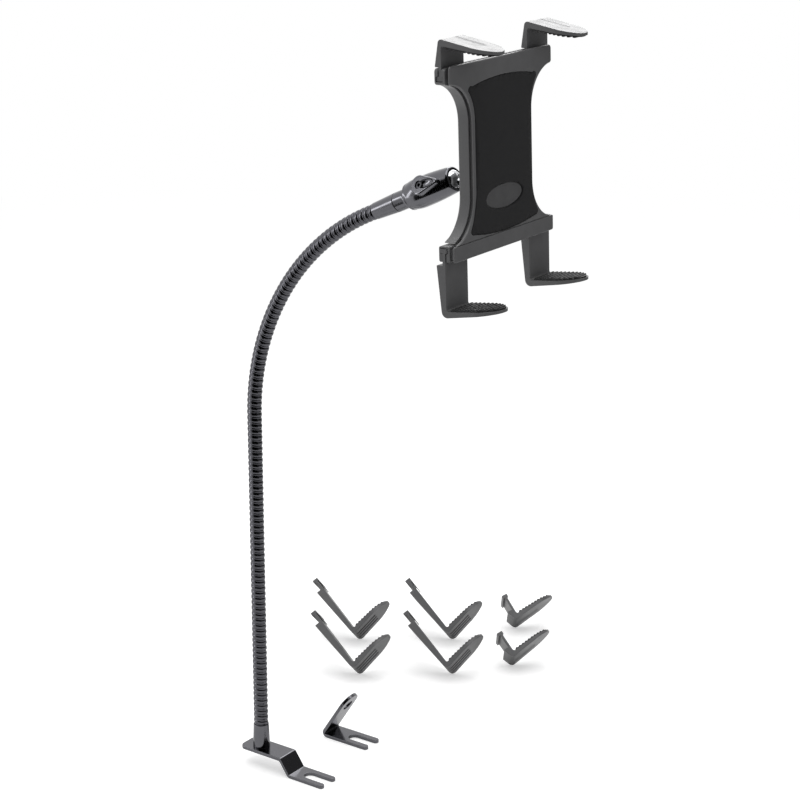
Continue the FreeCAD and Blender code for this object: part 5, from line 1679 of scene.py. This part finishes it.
@dataclass(frozen=True)
class Studio:
    """The floor, the white surround, the lamps, the cards and the camera."""

    azimuth: float = radians(35.49)
    elevation: float = radians(17.64)
    eye: tuple[float, float, float] = (1.11782, -1.42382, 0.94442)
    lens: float = 97.207
    floor_reach: float = 12.0
    floor_glow: float = 0.34
    ambient: float = 0.72

    def surround(self) -> None:
        """The world: white where it is seen or mirrored, plain light elsewhere."""
        world = bpy.data.worlds.new("white_studio")
        bpy.context.scene.world = world
        world.use_nodes = True
        tree = world.node_tree
        tree.nodes.clear()
        path = node(tree, "ShaderNodeLightPath")
        rays = path.outputs
        seen = node(tree, "ShaderNodeMath", {0: rays["Is Camera Ray"], 1: rays["Is Glossy Ray"]},
                    operation="MAXIMUM")
        seen = node(tree, "ShaderNodeMath", {0: seen.outputs[0], 1: rays["Is Transmission Ray"]},
                    operation="MAXIMUM")
        light = node(tree, "ShaderNodeBackground", {"Color": linear("#ffffff"), "Strength": self.ambient})
        white = node(tree, "ShaderNodeBackground", {"Color": linear("#ffffff"), "Strength": 1.0})
        mixed = node(tree, "ShaderNodeMixShader", {
            0: seen.outputs[0], 1: light.outputs[0], 2: white.outputs[0]})
        node(tree, "ShaderNodeOutputWorld", {"Surface": mixed.outputs[0]})

    def floor(self) -> None:
        """A pale plain floor that keeps the object's shadow and fades to the white surround."""
        reach = self.floor_reach
        mesh = bpy.data.meshes.new("studio_floor")
        corners = [(-reach, -reach, 0), (reach, -reach, 0), (reach, reach, 0), (-reach, reach, 0)]
        mesh.from_pydata(corners, [], [(0, 1, 2, 3)])
        floor = bpy.data.objects.new("studio_floor", mesh)
        bpy.context.scene.collection.objects.link(floor)
        made = bpy.data.materials.new("matt_white_paper")
        made.use_nodes = True
        tree = made.node_tree
        tree.nodes.clear()
        path = node(tree, "ShaderNodeLightPath")
        paper = node(tree, "ShaderNodeBsdfDiffuse", {"Color": linear("#f2f2f2")})
        glow = node(tree, "ShaderNodeEmission", {"Color": linear("#ffffff"), "Strength": self.floor_glow})
        place = node(tree, "ShaderNodeNewGeometry").outputs["Position"]
        away = node(tree, "ShaderNodeVectorMath", {0: place}, operation="LENGTH")
        fade = node(tree, "ShaderNodeMapRange", {
            "Value": away.outputs["Value"], "From Min": 0.9, "From Max": 2.6})
        lit = node(tree, "ShaderNodeAddShader", {0: paper.outputs[0], 1: glow.outputs[0]})
        white = node(tree, "ShaderNodeEmission", {"Color": linear("#ffffff"), "Strength": 1.0})
        near = node(tree, "ShaderNodeMixShader", {0: fade.outputs[0], 1: lit.outputs[0], 2: white.outputs[0]})
        shown = node(tree, "ShaderNodeMixShader", {
            0: path.outputs["Is Camera Ray"], 1: paper.outputs[0], 2: near.outputs[0]})
        node(tree, "ShaderNodeOutputMaterial", {"Surface": shown.outputs[0]})
        mesh.materials.append(made)

    def camera(self) -> None:
        """The camera that the photograph was fitted with."""
        data = bpy.data.cameras.new("studio_camera")
        data.lens, data.sensor_width, data.clip_end = self.lens, 36.0, 100.0
        camera = bpy.data.objects.new("studio_camera", data)
        a, e = self.azimuth, self.elevation
        right = Vector((cos(a), sin(a), 0))
        back = Vector((sin(a) * cos(e), -cos(a) * cos(e), sin(e)))
        camera.matrix_world = frame_of(right, back, Vector(self.eye))
        bpy.context.scene.collection.objects.link(camera)
        bpy.context.scene.camera = camera

    def build(self) -> None:
        """Makes the studio."""
        bpy.context.scene.view_settings.view_transform = "Standard"
        self.surround()
        self.floor()
        for box in (
            Softbox("overhead_softbox", (0.0, -0.1, 2.1), (0.0, 0.0, 0.4), 1.7, 1.7, 12.0),
            Softbox("rear_softbox", (-0.52, 1.1, 1.36), (0.2, 0.0, 0.69), 0.8, 0.7, 6.0),
            Softbox("left_strip", (-1.18, -0.99, 0.5), (-0.05, 0.0, 0.4), 0.24, 1.5, 5.0),
        ):
            box.build()
        for card in (
            Card("front_card", (0.05, 0.0), 0.46, -115.0, -5.0, 0.02, 1.25, "#0a0a0a"),
            Card("right_card", (0.05, 0.0), 0.9, -5.0, 80.0, 0.02, 1.1, "#5c5c5c"),
        ):
            card.build()
        self.camera()


def dress_kept_nodes() -> None:
    """Gives each CAD node that is kept the finish of its slot."""
    slots = {part["node"]: part["material_slot"] for part in frame["record"]["subparts"]}
    for name, piece in frame["nodes"].items():
        if piece.hide_render:
            continue
        piece.data.materials.clear()
        piece.data.materials.append(FINISHES[Slot(slots[name])].material())
        log.info("%s keeps its CAD form", name)


def main() -> None:
    """Builds the classes in order."""
    steps: list[Callable[[], None]] = [
        Foot().build, Gooseneck().build, Head().build, Holder().build, Legs().build, Spares().build,
        dress_kept_nodes, Studio().build]
    for step in steps:
        step()


if __name__ == "__main__":
    main()
